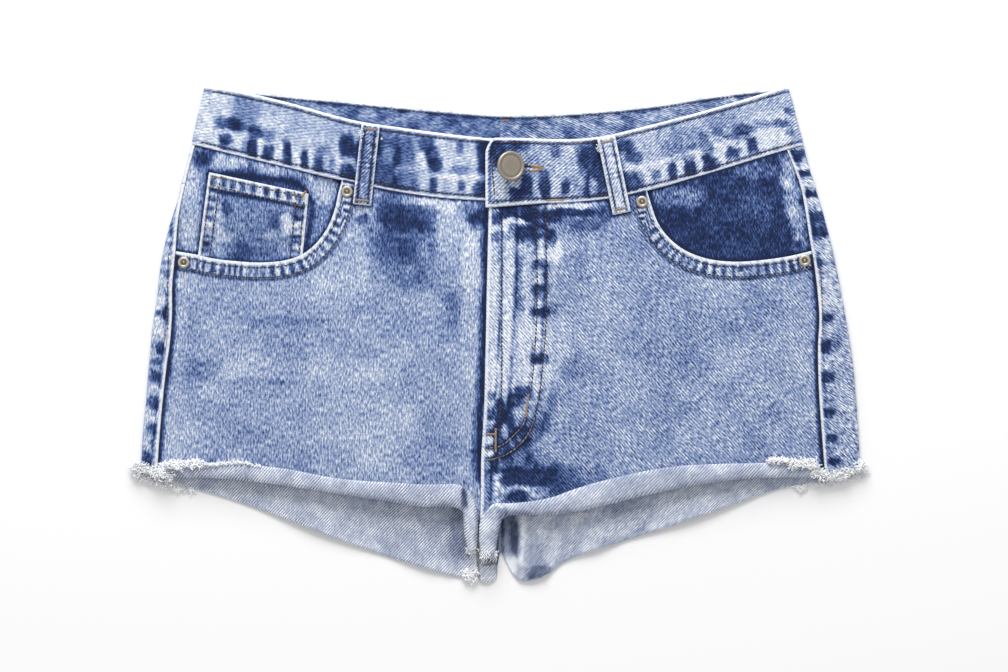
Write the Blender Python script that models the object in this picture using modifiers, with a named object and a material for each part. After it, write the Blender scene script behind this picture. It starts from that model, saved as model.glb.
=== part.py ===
"""Denim cut-off shorts, laid flat on a table and buttoned, as a Blender script.

The tables and sizes are in millimetres and the scene is in metres. X runs across the shorts, +Y runs
to the waist and +Z up from the table, with the origin on the table under the middle of the shorts.
Left and right are the sides that someone sees who looks down at the front.
"""

import math

import bmesh
import bpy
import numpy as np
from mathutils import Matrix, Vector

MM = 0.001

# Cloth
DENIM = 1.2                # one layer of washed denim
BAND = 2.4                 # waistband, two layers and the turned seam allowances
LOOP = 2.0                 # belt loop, a strip folded in three
GAP = 0.3                  # what is left between two pieces that are sewn together
POCKET_HEM = 0.8           # how far the double-turned pocket edge stands up
POCKET_HEM_WIDTH = 10.0
FLY_LIFT = 1.6             # the right front lies on the left front along the fly

# Waistband: the front and back top edges, and the seam under the front one
FRONT_TOP = (  # x, y
    (-191.8, 160.4), (-180.7, 159.0), (-140.7, 150.3), (-90.4, 137.1), (-65.0, 133.3),
    (-39.0, 129.8), (-13.0, 127.0), (8.5, 126.6), (52.6, 126.2), (64.4, 127.4),
    (91.0, 133.3), (118.3, 140.3), (145.9, 147.8), (187.2, 160.4),
)
BACK_TOP = (  # x, y
    (-191.8, 160.8), (-151.5, 156.2), (-104.7, 151.5), (-65.0, 147.6), (-25.4, 144.0),
    (0.0, 142.3), (20.8, 142.3), (59.1, 144.4), (91.0, 147.3), (146.2, 156.0), (187.2, 160.8),
)
FRONT_SEAM_LEFT = (  # x, y
    (-200.2, 123.3), (-163.8, 114.3), (-98.8, 99.2), (-65.0, 92.1), (-35.1, 88.2),
    (-8.5, 86.7), (14.0, 86.5),
)
FRONT_SEAM_RIGHT = (  # x, y
    (-9.0, 82.1), (24.7, 84.7), (52.6, 86.0), (72.2, 88.2), (91.0, 92.2), (131.0, 103.0),
    (175.5, 116.6), (197.0, 122.9),
)
BACK_SEAM = (  # x, y
    (-200.2, 123.3), (-151.5, 117.0), (-104.7, 112.0), (-40.0, 105.5), (0.0, 103.3),
    (40.0, 105.0), (104.7, 111.5), (151.5, 117.0), (197.0, 122.9),
)
BAND_SIDE = {"left": ((-192.2, 160.6), (-200.6, 123.3)), "right": ((187.6, 160.6), (197.4, 122.9))}
BAND_HEIGHT_LEFT = ((-200.0, 4.8), (-60.0, 5.2), (-20.0, 5.6), (20.0, 5.6))        # x, z of its middle
BAND_HEIGHT_RIGHT = ((-12.0, 8.5), (16.0, 8.5), (44.0, 5.9), (90.0, 5.2), (200.0, 4.8))
UNDERLAP_END = 14.0
OVERLAP_END = -9.0

# Side folds and outseams: x at each height y
SIDE_LEFT = (
    (123.3, -200.2), (101.8, -205.7), (86.9, -209.3), (75.2, -213.0), (60.9, -217.1),
    (42.7, -220.6), (22.5, -222.9), (10.2, -224.9), (-18.4, -227.9), (-47.0, -230.3),
    (-65.2, -232.1), (-92.0, -233.6),
)
SIDE_RIGHT = (
    (122.9, 197.0), (104.2, 201.9), (91.8, 205.7), (79.3, 209.6), (65.7, 213.3),
    (52.0, 216.5), (37.1, 219.6), (19.9, 222.9), (1.2, 226.2), (-13.4, 228.5),
    (-37.3, 230.9), (-61.2, 232.7), (-92.0, 234.2),
)
OUTSEAM_LEFT = (
    (123.3, -198.0), (100.5, -203.8), (77.1, -208.7), (47.9, -211.4), (31.0, -213.0),
    (12.1, -213.2), (-6.7, -214.6), (-20.4, -216.6), (-42.5, -219.1), (-66.5, -221.3),
    (-92.0, -223.0),
)
OUTSEAM_RIGHT = (
    (122.9, 184.6), (116.8, 187.3), (106.4, 191.6), (94.0, 195.7), (77.1, 198.9),
    (62.2, 201.2), (45.3, 204.1), (23.8, 206.7), (8.2, 207.6), (-5.4, 206.8),
    (-24.3, 206.9), (-47.7, 208.0), (-66.5, 209.4), (-92.0, 211.4),
)
SEAM_INSET = 1.5           # an outseam stays this far inside the fold
SEAM_GAP = 0.4             # what is left under the waistband
OUTSEAM_GAP = 0.8          # the front side of an outseam starts this far from its back side

# Front pockets
POCKET_LEFT = (  # x, y of the opening's edge, from the outseam to the waistband
    (-210.6, 53.2), (-197.6, 51.1), (-187.8, 48.8), (-171.0, 46.7), (-151.5, 46.0),
    (-139.1, 47.4), (-128.7, 51.0), (-121.5, 56.2), (-115.4, 63.2), (-110.0, 72.6),
    (-106.8, 82.0), (-104.9, 91.0), (-103.6, 100.0),
)
POCKET_RIGHT = (  # x, y, from the waistband to the outseam
    (96.3, 93.3), (98.4, 82.4), (102.4, 71.9), (108.8, 62.8), (118.6, 54.7), (133.5, 48.6),
    (150.9, 46.4), (169.6, 47.4), (188.2, 50.1), (203.0, 53.6),
)
FACING_BELOW_LEFT = (  # x, y of the facing's hidden lower edge
    (-212.6, 33.0), (-190.0, 29.0), (-150.0, 26.0), (-120.0, 34.0), (-100.0, 50.0),
)
FACING_END_LEFT = ((-84.0, 95.6), (-88.0, 72.0), (-100.0, 50.0))
FACING_BELOW_RIGHT = ((92.0, 46.0), (112.0, 33.0), (150.0, 26.0), (182.0, 29.0), (205.2, 33.0))
FACING_END_RIGHT = ((76.0, 88.7), (79.0, 66.0), (92.0, 46.0))
FACING_RISE_REACH = 28.0   # the facing comes up to the waistband's level this far inside the opening
COIN_CORNERS = ((-188.6, 104.4), (-124.5, 90.7), (-129.6, 38.0), (-197.6, 38.0))   # from top left, clockwise
COIN_HEM = 9.0

# Fly and centre seams: x at each height y
FLY_EDGE = (
    (90.0, -6.8), (81.2, -7.0), (37.1, -8.1), (-12.6, -9.1), (-54.2, -10.3), (-78.9, -11.8),
    (-112.0, -12.3), (-118.0, -12.6), (-124.0, -12.9), (-150.0, -12.9),
)
FLY_STITCH = (  # x of the outer seam of the fly facing
    (90.0, 29.5), (37.1, 29.5), (3.9, 27.9), (-25.9, 26.2), (-45.7, 24.6), (-59.1, 21.3),
    (-70.6, 14.6), (-81.5, -1.0), (-112.0, -3.0), (-120.0, -8.0),
)
LEFT_CENTRE = (  # x where the left front ends, under the right one
    (90.0, -1.0), (37.1, -2.1), (-12.6, -3.1), (-54.2, -4.3), (-78.9, -6.0), (-105.0, -8.0),
    (-113.0, -11.0), (-118.0, -13.2), (-124.0, -14.9), (-150.0, -15.1),
)
SEAT_SEAM = (  # x of the centre back seam and of the inseams under it
    (110.0, 0.0), (50.0, -1.0), (0.0, -4.0), (-60.0, -9.0), (-118.0, -12.9), (-135.0, -14.0),
    (-170.0, -14.0),
)
INSEAM_SPREAD = 1.0        # the two legs part by this much on each side of the seat seam's line
CROTCH_Y = -118.0
CROTCH_COLUMNS = 10        # a front's columns that run down to the turned hem beside the inseam

# Turned-up front hems: the fold below, the raw edge above, the fold's radius and how far the edge tucks in
HEM_LEFT = (  # fold x, fold y, edge x, edge y, radius, tuck in degrees
    (-222.4, -91.4, -221.6, -86.0, 1.0, 0.0),
    (-208.0, -93.4, -209.3, -83.8, 1.3, 5.0),
    (-195.0, -93.6, -195.0, -83.4, 1.7, 30.0),
    (-162.5, -95.8, -163.8, -85.2, 2.2, 110.0),
    (-130.0, -99.9, -135.8, -88.2, 2.5, 130.0),
    (-96.2, -105.0, -103.4, -94.2, 2.7, 130.0),
    (-70.2, -109.1, -78.0, -96.4, 2.8, 130.0),
    (-52.0, -112.2, -53.3, -97.7, 2.9, 130.0),
    (-35.1, -112.4, -35.1, -97.7, 2.9, 130.0),
    (-27.0, -113.4, -26.4, -98.1, 2.8, 130.0),
    (-23.9, -115.8, -20.6, -101.4, 2.6, 130.0),
    (-23.4, -120.0, -16.8, -108.2, 2.5, 130.0),
    (-23.3, -125.0, -14.6, -116.4, 2.4, 130.0),
    (-23.1, -130.0, -14.1, -124.4, 2.3, 130.0),
    (-22.0, -136.0, -14.7, -132.6, 2.0, 110.0),
    (-20.2, -141.4, -15.5, -139.6, 1.5, 60.0),
)
HEM_RIGHT = (
    (-4.2, -146.0, -11.9, -144.8, 1.6, 60.0),
    (-2.5, -138.2, -13.1, -137.0, 2.0, 110.0),
    (-1.0, -131.0, -13.4, -129.4, 2.3, 130.0),
    (0.3, -124.6, -12.8, -121.8, 2.5, 130.0),
    (1.9, -120.2, -10.8, -116.0, 2.7, 130.0),
    (5.4, -118.0, -5.4, -111.2, 2.8, 130.0),
    (13.3, -117.4, 6.5, -109.9, 2.8, 130.0),
    (24.7, -117.4, 19.5, -108.6, 2.8, 130.0),
    (36.4, -117.2, 33.1, -106.2, 2.8, 130.0),
    (50.7, -115.3, 45.5, -101.9, 2.8, 130.0),
    (68.2, -111.4, 62.4, -96.8, 2.7, 130.0),
    (97.5, -104.2, 92.3, -89.4, 2.6, 130.0),
    (132.0, -97.4, 125.5, -85.0, 2.5, 130.0),
    (165.1, -93.6, 162.5, -83.9, 2.1, 110.0),
    (193.0, -93.4, 191.8, -84.2, 1.5, 20.0),
    (211.0, -93.8, 210.2, -88.8, 1.0, 0.0),
)
EDGE_TUCK_RADIUS = 1.2

# Back hems: the raw edge from the inseam out to the side fold
BACK_HEM_LEFT = (  # x, y
    (-14.6, -156.2), (-19.5, -159.8), (-24.1, -158.6), (-32.5, -156.9), (-45.5, -153.2),
    (-61.8, -148.4), (-78.0, -143.2), (-117.0, -128.9), (-156.0, -114.2), (-178.8, -106.4),
    (-199.6, -100.4), (-211.2, -96.6), (-223.0, -92.6), (-231.0, -90.0),
)
BACK_HEM_RIGHT = (
    (-12.8, -160.6), (-7.2, -161.6), (-3.2, -159.6), (-1.6, -150.4), (0.6, -142.5), (4.4, -149.1),
    (8.5, -156.4), (12.6, -160.2), (18.2, -160.8), (24.1, -159.4), (32.0, -155.6), (40.3, -149.2),
    (50.0, -144.6), (62.4, -140.6), (78.0, -135.6), (117.0, -123.1), (156.0, -109.6),
    (181.3, -101.0), (200.0, -97.0), (214.0, -94.4), (230.0, -90.6),
)
HEM_LIFTS = (  # centre x, half width, height of the places where the back hem stands off the table
    (-118.0, 48.0, 2.2), (-50.0, 26.0, 1.4), (24.0, 14.0, 1.6), (62.0, 22.0, 1.6), (128.0, 50.0, 2.2),
)
HEM_LIFT_REACH = 26.0

# Yoke seam on the back, from the side to the centre
YOKE_LEFT = ((-206.0, 97.0), (-150.0, 88.0), (-75.0, 64.0), (-0.15, 47.0))   # x, y
YOKE_RIGHT = ((0.15, 47.0), (75.0, 64.0), (150.0, 88.0), (203.0, 100.0))

# How the layers lie: height of the middle of the front cloth at the outseams, and its swell between them
LAY_SIDE = (  # y, z
    (-170.0, 3.3), (-92.0, 3.3), (-40.0, 3.7), (10.0, 4.6), (45.0, 5.4), (90.0, 5.4), (125.0, 5.1),
)
LAY_SWELL = ((-170.0, 1.6), (-92.0, 1.9), (-20.0, 2.4), (45.0, 1.2), (90.0, 0.3), (125.0, 0.2))
CROTCH_BUMP = {"x": -12.0, "y": -124.0, "height": 2.2, "spread": 22.0}

# Belt loops, rivets and the button
LOOP_WIDTH = 11.4
LOOPS = (  # name, top x, top y, bottom x, bottom y
    ("belt_loop_left", -83.9, 135.2, -89.5, 83.8),
    ("belt_loop_right", 68.9, 127.0, 79.0, 78.4),
)
LOOP_SLACK = 1.0
RIVETS = (  # name, x, y
    ("rivet_left_waist", -99.3, 92.2), ("rivet_left_side", -205.2, 46.2),
    ("rivet_right_waist", 92.2, 85.6), ("rivet_right_side", 197.7, 47.4),
)
RIVET_PROFILE = (  # radius, height: washer, rim and burr round the hollow post
    (0.0, -0.1), (1.0, -0.1), (1.2, 0.75), (1.9, 0.8), (2.1, 0.25), (2.7, 0.35), (3.4, 0.55),
    (3.8, 0.25), (3.8, -0.5), (0.0, -0.5),
)
BUTTON = {"x": 2.9, "y": 108.6, "tilt": 26.0, "shank": 8.2}
BUTTON_PROFILE = (  # radius, height over the underside of the cap, from the crown down to the foot
    (0.0, 2.0), (7.6, 1.75), (8.3, 2.25), (9.2, 2.2), (9.7, 1.5), (9.5, 0.4), (8.4, 0.0),
    (3.0, 0.0), (2.5, -0.8), (2.3, -4.5), (2.6, -7.4), (2.6, -8.2), (0.0, -8.2),
)
BUTTONHOLE = {"eye_x": 4.6, "y": 108.3, "end_x": 28.6, "eye_radius": 4.3, "slit": 1.1}

# Frayed ends of the hems: a narrow strip of loosened weave with threads that stand out from it
FRAY_STRIP = (1.2, 0.8)    # width and thickness
LOWEST_TIP = 0.4           # height of the middle of a thread's tip over the table
FRAYS = (  # name, root line of (x, y, z), first and last direction in degrees, threads, shortest, longest
    ("fray_left_side",
     ((-233.9, -84.0, 2.2), (-234.0, -89.0, 2.2), (-233.0, -90.9, 1.5), (-230.0, -91.2, 0.8),
      (-224.0, -93.1, 0.8), (-214.0, -96.4, 0.8)),
     (172.0, 250.0), 17, 3.0, 5.6),
    ("fray_left_cuff",
     ((-191.0, -83.1, 7.5), (-203.0, -83.2, 7.0), (-212.0, -83.7, 6.3), (-221.0, -85.4, 5.6)),
     (84.0, 118.0), 12, 1.4, 3.2),
    ("fray_right_side",
     ((213.0, -95.3, 0.8), (222.0, -93.3, 0.8), (230.0, -91.5, 0.8), (233.9, -91.3, 1.5),
      (234.9, -89.0, 2.2), (234.9, -84.0, 2.2)),
     (285.0, 368.0), 17, 3.0, 5.6),
    ("fray_right_cuff",
     ((209.4, -88.2, 5.4), (200.0, -85.5, 6.2), (190.0, -83.6, 6.9), (176.0, -83.3, 7.9)),
     (70.0, 96.0), 12, 1.4, 3.2),
)

# Middle of the shorts' box in the tables' numbers, which goes to the origin
BOX_CENTRE = (0.3, -0.6)

MATERIALS = {  # name: sRGB colour, roughness, metallic
    "denim": ((0.52, 0.62, 0.79), 0.9, 0.0),
    "denim_dark": ((0.24, 0.34, 0.58), 0.9, 0.0),
    "denim_worn": ((0.66, 0.74, 0.87), 0.9, 0.0),
    "denim_fray": ((0.86, 0.88, 0.93), 0.95, 0.0),
    "rivet_metal": ((0.62, 0.58, 0.5), 0.4, 1.0),
    "button_metal": ((0.6, 0.56, 0.5), 0.45, 1.0),
}


def smooth(t):
    """An S curve from 0 to 1 as t goes from 0 to 1."""
    t = np.clip(t, 0.0, 1.0)
    return t * t * (3.0 - 2.0 * t)


def through(keys, values, at):
    """A smooth curve through values at rising keys, read at the places `at` (one row per place)."""
    keys, values = np.asarray(keys, float), np.asarray(values, float)
    at = np.clip(np.asarray(at, float), keys[0], keys[-1])
    wide = (...,) + (None,) * (values.ndim - 1)
    steps = np.diff(keys)
    slopes = np.diff(values, axis=0) / steps[wide]
    share = (steps[1:] / (steps[1:] + steps[:-1]))[wide]
    between = slopes[:-1] * share + slopes[1:] * (1.0 - share)
    tangents = np.concatenate([slopes[:1], between, slopes[-1:]])
    i = np.clip(np.searchsorted(keys, at, side="right") - 1, 0, len(steps) - 1)
    span, t = steps[i][wide], ((at - keys[i]) / steps[i])[wide]
    return (
        values[i] * (1 + 2 * t) * (1 - t) ** 2 + tangents[i] * span * t * (1 - t) ** 2
        + values[i + 1] * t * t * (3 - 2 * t) + tangents[i + 1] * span * t * t * (t - 1)
    )


def at_height(table, y):
    """x on a seam or fold whose table gives x at falling heights y."""
    rows = np.array(table[::-1])
    return through(rows[:, 0], rows[:, 1], y)


def at_x(table, x):
    """y on an edge whose table gives y at rising x, or z at rising y."""
    rows = np.array(table)
    return through(rows[:, 0], rows[:, 1], x)


def along(table, shares):
    """Rows of a table, smoothly, at shares of its first two columns' length."""
    rows = np.array(table, float)
    reach = np.concatenate([[0.0], np.cumsum(np.linalg.norm(np.diff(rows[:, :2], axis=0), axis=1))])
    return through(reach / reach[-1], rows, shares)


def patch(top, bottom, left, right, u, v):
    """Coons patch: points between four edge lines that meet at the corners. u and v are their shares."""
    u, v = u[None, :, None], v[:, None, None]
    ruled = (1 - v) * top[None] + v * bottom[None] + (1 - u) * left[:, None] + u * right[:, None]
    corners = (
        (1 - u) * (1 - v) * top[0] + u * (1 - v) * top[-1]
        + (1 - u) * v * bottom[0] + u * v * bottom[-1]
    )
    return ruled - corners


def distance_to(line, x, y):
    """Distance from points to a line in the plane, through its densely read points."""
    dense = along(line, np.linspace(0, 1, 160))
    gaps = np.hypot(x[..., None] - dense[:, 0], y[..., None] - dense[:, 1])
    return gaps.min(axis=-1)


def lay_height(x, y):
    """Height of the middle of the front cloth: low at the outseams, swelling between them and at the crotch."""
    left, right = at_height(OUTSEAM_LEFT, y), at_height(OUTSEAM_RIGHT, y)
    across = np.clip((x - left) / (right - left), 0.0, 1.0) * 2.0 - 1.0
    bump = CROTCH_BUMP
    near = np.exp(-((x - bump["x"]) ** 2 + (y - bump["y"]) ** 2) / (2 * bump["spread"] ** 2))
    swell = at_x(LAY_SWELL, y) * (1.0 - across ** 4)
    return at_x(LAY_SIDE, y) + swell + bump["height"] * near


def fold_of(side, y):
    """The side fold at height y: its outermost x, its centre x and z, and its radius, to the cloth's middle."""
    sign = -1.0 if side == "left" else 1.0
    outer = at_height(SIDE_LEFT if side == "left" else SIDE_RIGHT, y) - sign * DENIM / 2
    top = lay_height(outer, y)
    radius = (top - DENIM / 2) / 2
    return outer, outer - sign * radius, radius + DENIM / 2, radius


def over_fold(x, y):
    """Height of the middle of the top layer, rounded off where it runs into a side fold."""
    z = lay_height(x, y)
    for side, sign in (("left", -1.0), ("right", 1.0)):
        _, centre, _, radius = fold_of(side, y)
        past = np.clip((x - centre) * sign, 0.0, radius)
        z = z - (radius - np.sqrt(np.maximum(radius ** 2 - past ** 2, 0.0)))
    return z


def outseam(side, y):
    """x of the outseam, kept a little inside the fold."""
    if side == "left":
        return np.maximum(at_height(OUTSEAM_LEFT, y), at_height(SIDE_LEFT, y) + SEAM_INSET)
    return np.minimum(at_height(OUTSEAM_RIGHT, y), at_height(SIDE_RIGHT, y) - SEAM_INSET)


def fly_lift(x, y):
    """How much higher the right front lies where the left front and the fly facing are under it."""
    inside = at_height(FLY_STITCH, y) - x
    return FLY_LIFT * smooth((inside + 5.0) / 5.0) * smooth((y + 126.0) / 6.0)


def normals_of(points):
    """Unit normals of a grid of points, from its rows and columns."""
    found = np.cross(np.gradient(points, axis=0), np.gradient(points, axis=1))
    return found / np.maximum(np.linalg.norm(found, axis=2, keepdims=True), 1e-9)


def new_object(name, mesh, material):
    obj = bpy.data.objects.new(name, mesh)
    obj.data.materials.append(bpy.data.materials[material])
    bpy.data.collections["denim_shorts"].objects.link(obj)
    return obj


def wall(name, points, material, thick=DENIM, raised=0.0):
    """A cloth wall: a lofted grid of middle points in millimetres with a Solidify modifier.

    `thick` is one thickness, or one for each point. `raised` adds to the face side only, up to the top.
    """
    rows, columns = points.shape[:2]
    extra = np.broadcast_to(np.asarray(raised, float), (rows, columns))
    through_cloth = np.broadcast_to(np.asarray(thick, float), (rows, columns)) + extra
    middle = points + normals_of(points) * extra[..., None] / 2 - np.array([*BOX_CENTRE, 0.0])
    index = np.arange(rows * columns).reshape(rows, columns)
    quads = np.stack([index[:-1, :-1], index[1:, :-1], index[1:, 1:], index[:-1, 1:]], -1)
    mesh = bpy.data.meshes.new(name)
    mesh.from_pydata((middle.reshape(-1, 3) * MM).tolist(), [], quads.reshape(-1, 4).tolist())
    mesh.shade_smooth()
    obj = new_object(name, mesh, material)
    cloth = obj.modifiers.new("cloth", "SOLIDIFY")
    cloth.thickness = through_cloth.max() * MM
    cloth.offset = 0.0
    if np.ptp(through_cloth) > 0:
        cloth.vertex_group = obj.vertex_groups.new(name="thickness").name
        for point, weight in enumerate((through_cloth / through_cloth.max()).ravel().tolist()):
            obj.vertex_groups["thickness"].add([point], weight, "REPLACE")
    return obj


def turned(name, profile, place, axis, material, steps=16):
    """A turned metal piece: the profile's radius and height swept round its axis with a Screw modifier."""
    mesh = bpy.data.meshes.new(name)
    edges = [(i, i + 1) for i in range(len(profile) - 1)]
    mesh.from_pydata([(r * MM, 0, z * MM) for r, z in profile], edges, [])
    obj = new_object(name, mesh, material)
    screw = obj.modifiers.new("turn", "SCREW")
    screw.steps = screw.render_steps = steps
    screw.use_merge_vertices = True
    screw.merge_threshold = 0.00002
    screw.use_smooth_shade = True
    shifted = Vector((place[0] - BOX_CENTRE[0], place[1] - BOX_CENTRE[1], place[2])) * MM
    obj.location = shifted
    obj.rotation_mode = "QUATERNION"
    obj.rotation_quaternion = Vector(axis).to_track_quat("Z", "Y")
    return obj


def lifted(x, y, drop=0.0):
    """Middle points of a piece of the top layer, `drop` below it."""
    return np.stack([x, y, over_fold(x, y) - drop], -1)


def front_panel(side, opening=13, waist=15, rows=10):
    """A front: the pocket's scoop and the waist seam above, the hem turned up to its face below."""
    left_side = side == "left"
    half = DENIM / 2
    u = np.linspace(0, 1, opening + waist)
    spread = np.array([0.0, 0.062, 0.078, *np.linspace(0.19, 1.0, rows - 3)])
    if left_side:
        waist_x = np.linspace(-102.4, -1.0, waist)
        waist_line = np.stack([waist_x, at_x(FRONT_SEAM_LEFT, waist_x) - SEAM_GAP], -1)
        top = np.concatenate([along(POCKET_LEFT[:-1], np.linspace(0, 1, opening)), waist_line])
        hem = along(HEM_LEFT, knee_shares(HEM_LEFT, 9, opening + waist - CROTCH_COLUMNS, CROTCH_COLUMNS))
    else:
        waist_x = np.linspace(-7.0, 95.2, waist)
        waist_line = np.stack([waist_x, at_x(FRONT_SEAM_RIGHT, waist_x) - SEAM_GAP], -1)
        top = np.concatenate([waist_line, along(POCKET_RIGHT[1:], np.linspace(0, 1, opening))])
        hem = along(HEM_RIGHT, knee_shares(HEM_RIGHT, 6, CROTCH_COLUMNS, opening + waist - CROTCH_COLUMNS))
    fold, edge, radius = hem[:, 0:2], hem[:, 2:4], hem[:, 4]
    reach = np.linalg.norm(edge - fold, axis=1)
    upwards = (edge - fold) / reach[:, None]
    bottom = fold + upwards * (radius + half)[:, None]
    outer_end, centre_end = (0, -1) if left_side else (-1, 0)
    outer_y = np.linspace(top[outer_end, 1], bottom[outer_end, 1], rows)
    inward = OUTSEAM_GAP if left_side else -OUTSEAM_GAP
    outer = np.stack([outseam(side, outer_y) + inward, outer_y], -1)
    centre_y = np.linspace(top[centre_end, 1], bottom[centre_end, 1], rows)
    inner = np.stack([at_height(LEFT_CENTRE if left_side else FLY_EDGE, centre_y), centre_y], -1)
    sides = (outer, inner) if left_side else (inner, outer)
    for line, end in zip(sides, (0, -1)):
        top[end], bottom[end] = line[0], line[-1]
    sides = [along(line, spread) for line in sides]
    flat = patch(top, bottom, *sides, u, spread)
    x, y = flat[..., 0], flat[..., 1]
    z = over_fold(x, y) + (0.0 if left_side else fly_lift(x, y))
    panel = np.stack([x, y, z], -1)
    turn = cuff(hem, fold, upwards, reach, z[-1])
    points = np.concatenate([panel, turn])
    raised = np.concatenate([pocket_band(side, x, y), np.zeros(turn.shape[:2])])
    return wall(f"front_{side}", points, "denim", raised=raised)


def knee_shares(table, knee, before, after):
    """Shares of a line's length: `before` even places up to its row `knee` and `after` places past it."""
    rows = np.array(table)
    reach = np.cumsum(np.linalg.norm(np.diff(rows[:, :2], axis=0), axis=1))
    middle = reach[knee - 1] / reach[-1]
    return np.concatenate([np.linspace(0, middle, before), np.linspace(middle, 1, after + 1)[1:]])


def pocket_band(side, x, y, reach=0.0):
    """How far the turned pocket edge stands up over the front's cloth."""
    gone = distance_to(POCKET_LEFT if side == "left" else POCKET_RIGHT, x, y)
    return POCKET_HEM * smooth(POCKET_HEM_WIDTH + 1.0 + reach - gone)


def cuff(hem, fold, upwards, reach, base):
    """Rows of a turned-up hem: round the fold, back over the front and down at the raw edge."""
    radius, tuck = hem[:, 4], np.radians(hem[:, 5])
    half = DENIM / 2
    rows = []
    for turn in np.radians((-45.0, 0.0, 45.0, 90.0)):
        out = radius * np.cos(turn)
        rows.append((radius + half - out, radius * (1 + np.sin(turn))))
    tuck_at = reach - half - EDGE_TUCK_RADIUS
    for share in (0.5, 1.0):
        run = radius + half + (tuck_at - radius - half) * share
        rows.append((run, 2 * radius + 0.4 * share * (1 - share) * 4))
    for share in (0.4, 0.75, 1.0):
        angle = tuck * share
        rows.append((
            tuck_at + EDGE_TUCK_RADIUS * np.sin(angle),
            2 * radius - EDGE_TUCK_RADIUS * (1 - np.cos(angle)),
        ))
    short_by = np.where(tuck < 0.6, EDGE_TUCK_RADIUS * (1 - np.sin(tuck)) + half, 0.0)
    made = []
    for number, (out, up) in enumerate(rows):
        shift = short_by * max(number - 5, 0) / 3
        plan = fold + upwards * (out + shift)[:, None]
        made.append(np.stack([plan[:, 0], plan[:, 1], base + up], -1))
    return np.array(made)


def facing(side, columns=12, rows=10):
    """The denim side piece that shows in a pocket's opening and runs on under the front."""
    u, v = np.linspace(0, 1, columns), np.linspace(0, 1, rows)
    left_side = side == "left"
    seam = FRONT_SEAM_LEFT if left_side else FRONT_SEAM_RIGHT
    below = FACING_BELOW_LEFT if left_side else FACING_BELOW_RIGHT
    end = FACING_END_LEFT if left_side else FACING_END_RIGHT
    hidden = along(end, v)
    bottom = along(below, u)
    seam_y = 121.6 if left_side else 118.6
    outer_y = np.linspace(seam_y, below[0 if left_side else -1][1], rows)
    outer = np.stack([outseam(side, outer_y) + (OUTSEAM_GAP if left_side else -OUTSEAM_GAP), outer_y], -1)
    if left_side:
        top_x = np.linspace(outer[0, 0], hidden[0, 0], columns)
    else:
        top_x = np.linspace(hidden[0, 0], outer[0, 0], columns)
    top = np.stack([top_x, at_x(seam, top_x) - GAP], -1)
    sides = (outer, hidden) if left_side else (hidden, outer)
    for line, place in zip(sides, (0, -1)):
        line[0] = top[place]
        bottom[place] = line[-1]
    flat = patch(top, bottom, *sides, u, v)
    x, y = flat[..., 0], flat[..., 1]
    return wall(f"pocket_facing_{side}", lifted(x, y, facing_drop(side, x, y)), "denim_dark")


def facing_drop(side, x, y):
    """How far the facing lies under the top layer: under the pocket's edge, and coming up inside the opening."""
    pocket = POCKET_LEFT if side == "left" else POCKET_RIGHT
    depth = 2 * (DENIM + GAP) if side == "left" else DENIM + GAP
    edge = np.array(pocket)
    middle = edge[len(edge) // 2]
    outward = np.array([-1.0 if side == "left" else 1.0, 1.0])
    inside = (x - middle[0]) * outward[0] + (y - middle[1]) * outward[1] > -30.0
    gone = np.where(inside, distance_to(pocket, x, y), 0.0)
    under = np.where(side_of(pocket, x, y, side), gone, 0.0)
    return depth - (depth - GAP) * smooth((under - 4.0) / FACING_RISE_REACH)


def side_of(pocket, x, y, side):
    """True for points inside the pocket's opening, above and outside its edge."""
    edge = np.array(pocket)
    order = np.argsort(edge[:, 0])
    bottom_y = np.interp(x, edge[order, 0], edge[order, 1])
    beyond = x < edge[:, 0].max() if side == "left" else x > edge[:, 0].min()
    return (y > bottom_y) & beyond


def coin_pocket(columns=8):
    """The small patch pocket on the left facing; its foot is under the front's pocket edge."""
    u = np.linspace(0, 1, columns)
    v = np.array([0.0, 0.02, 0.11, 0.15, 0.17, 0.35, 0.6, 0.8, 1.0])
    corners = np.array(COIN_CORNERS)
    top = corners[0] + (corners[1] - corners[0]) * u[:, None]
    foot = corners[3] + (corners[2] - corners[3]) * u[:, None]
    flat = top[None] * (1 - v)[:, None, None] + foot[None] * v[:, None, None]
    x, y = flat[..., 0], flat[..., 1]
    z = over_fold(x, y) - facing_drop("left", x, y) + DENIM + GAP
    down = np.linalg.norm(foot[0] - top[0]) * v[:, None]
    hem = 0.7 * smooth((COIN_HEM + 1.6 - down) / 1.0) * smooth((down + 0.8) / 0.8) + 0.0 * x
    return wall("coin_pocket", np.stack([x, y, z], -1), "denim", raised=hem)


def back_height(side, x, y):
    """Height of the middle of the back cloth: flat on the table, lifted at parts of the hem and at the inseam."""
    hem = BACK_HEM_LEFT[::-1] if side == "left" else BACK_HEM_RIGHT
    rows = np.array(hem)
    order = np.argsort(rows[:, 0])
    above = y - np.interp(x, rows[order, 0], rows[order, 1])
    z = np.full_like(x, DENIM / 2)
    for centre, half_width, height in HEM_LIFTS:
        across = smooth(1 - np.abs(x - centre) / half_width)
        z = z + height * across * smooth(1 - above / HEM_LIFT_REACH)
    from_seam = np.abs(x - at_height(SEAT_SEAM, y))
    near = smooth(1 - (from_seam - INSEAM_SPREAD) / 13.0)
    low = smooth((-100.0 - y) / 16.0) * (1 - 0.6 * smooth((-142.0 - y) / 18.0))
    return z + (lay_height(x, y) - 1.5 * DENIM - GAP - DENIM / 2) * near * low


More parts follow.
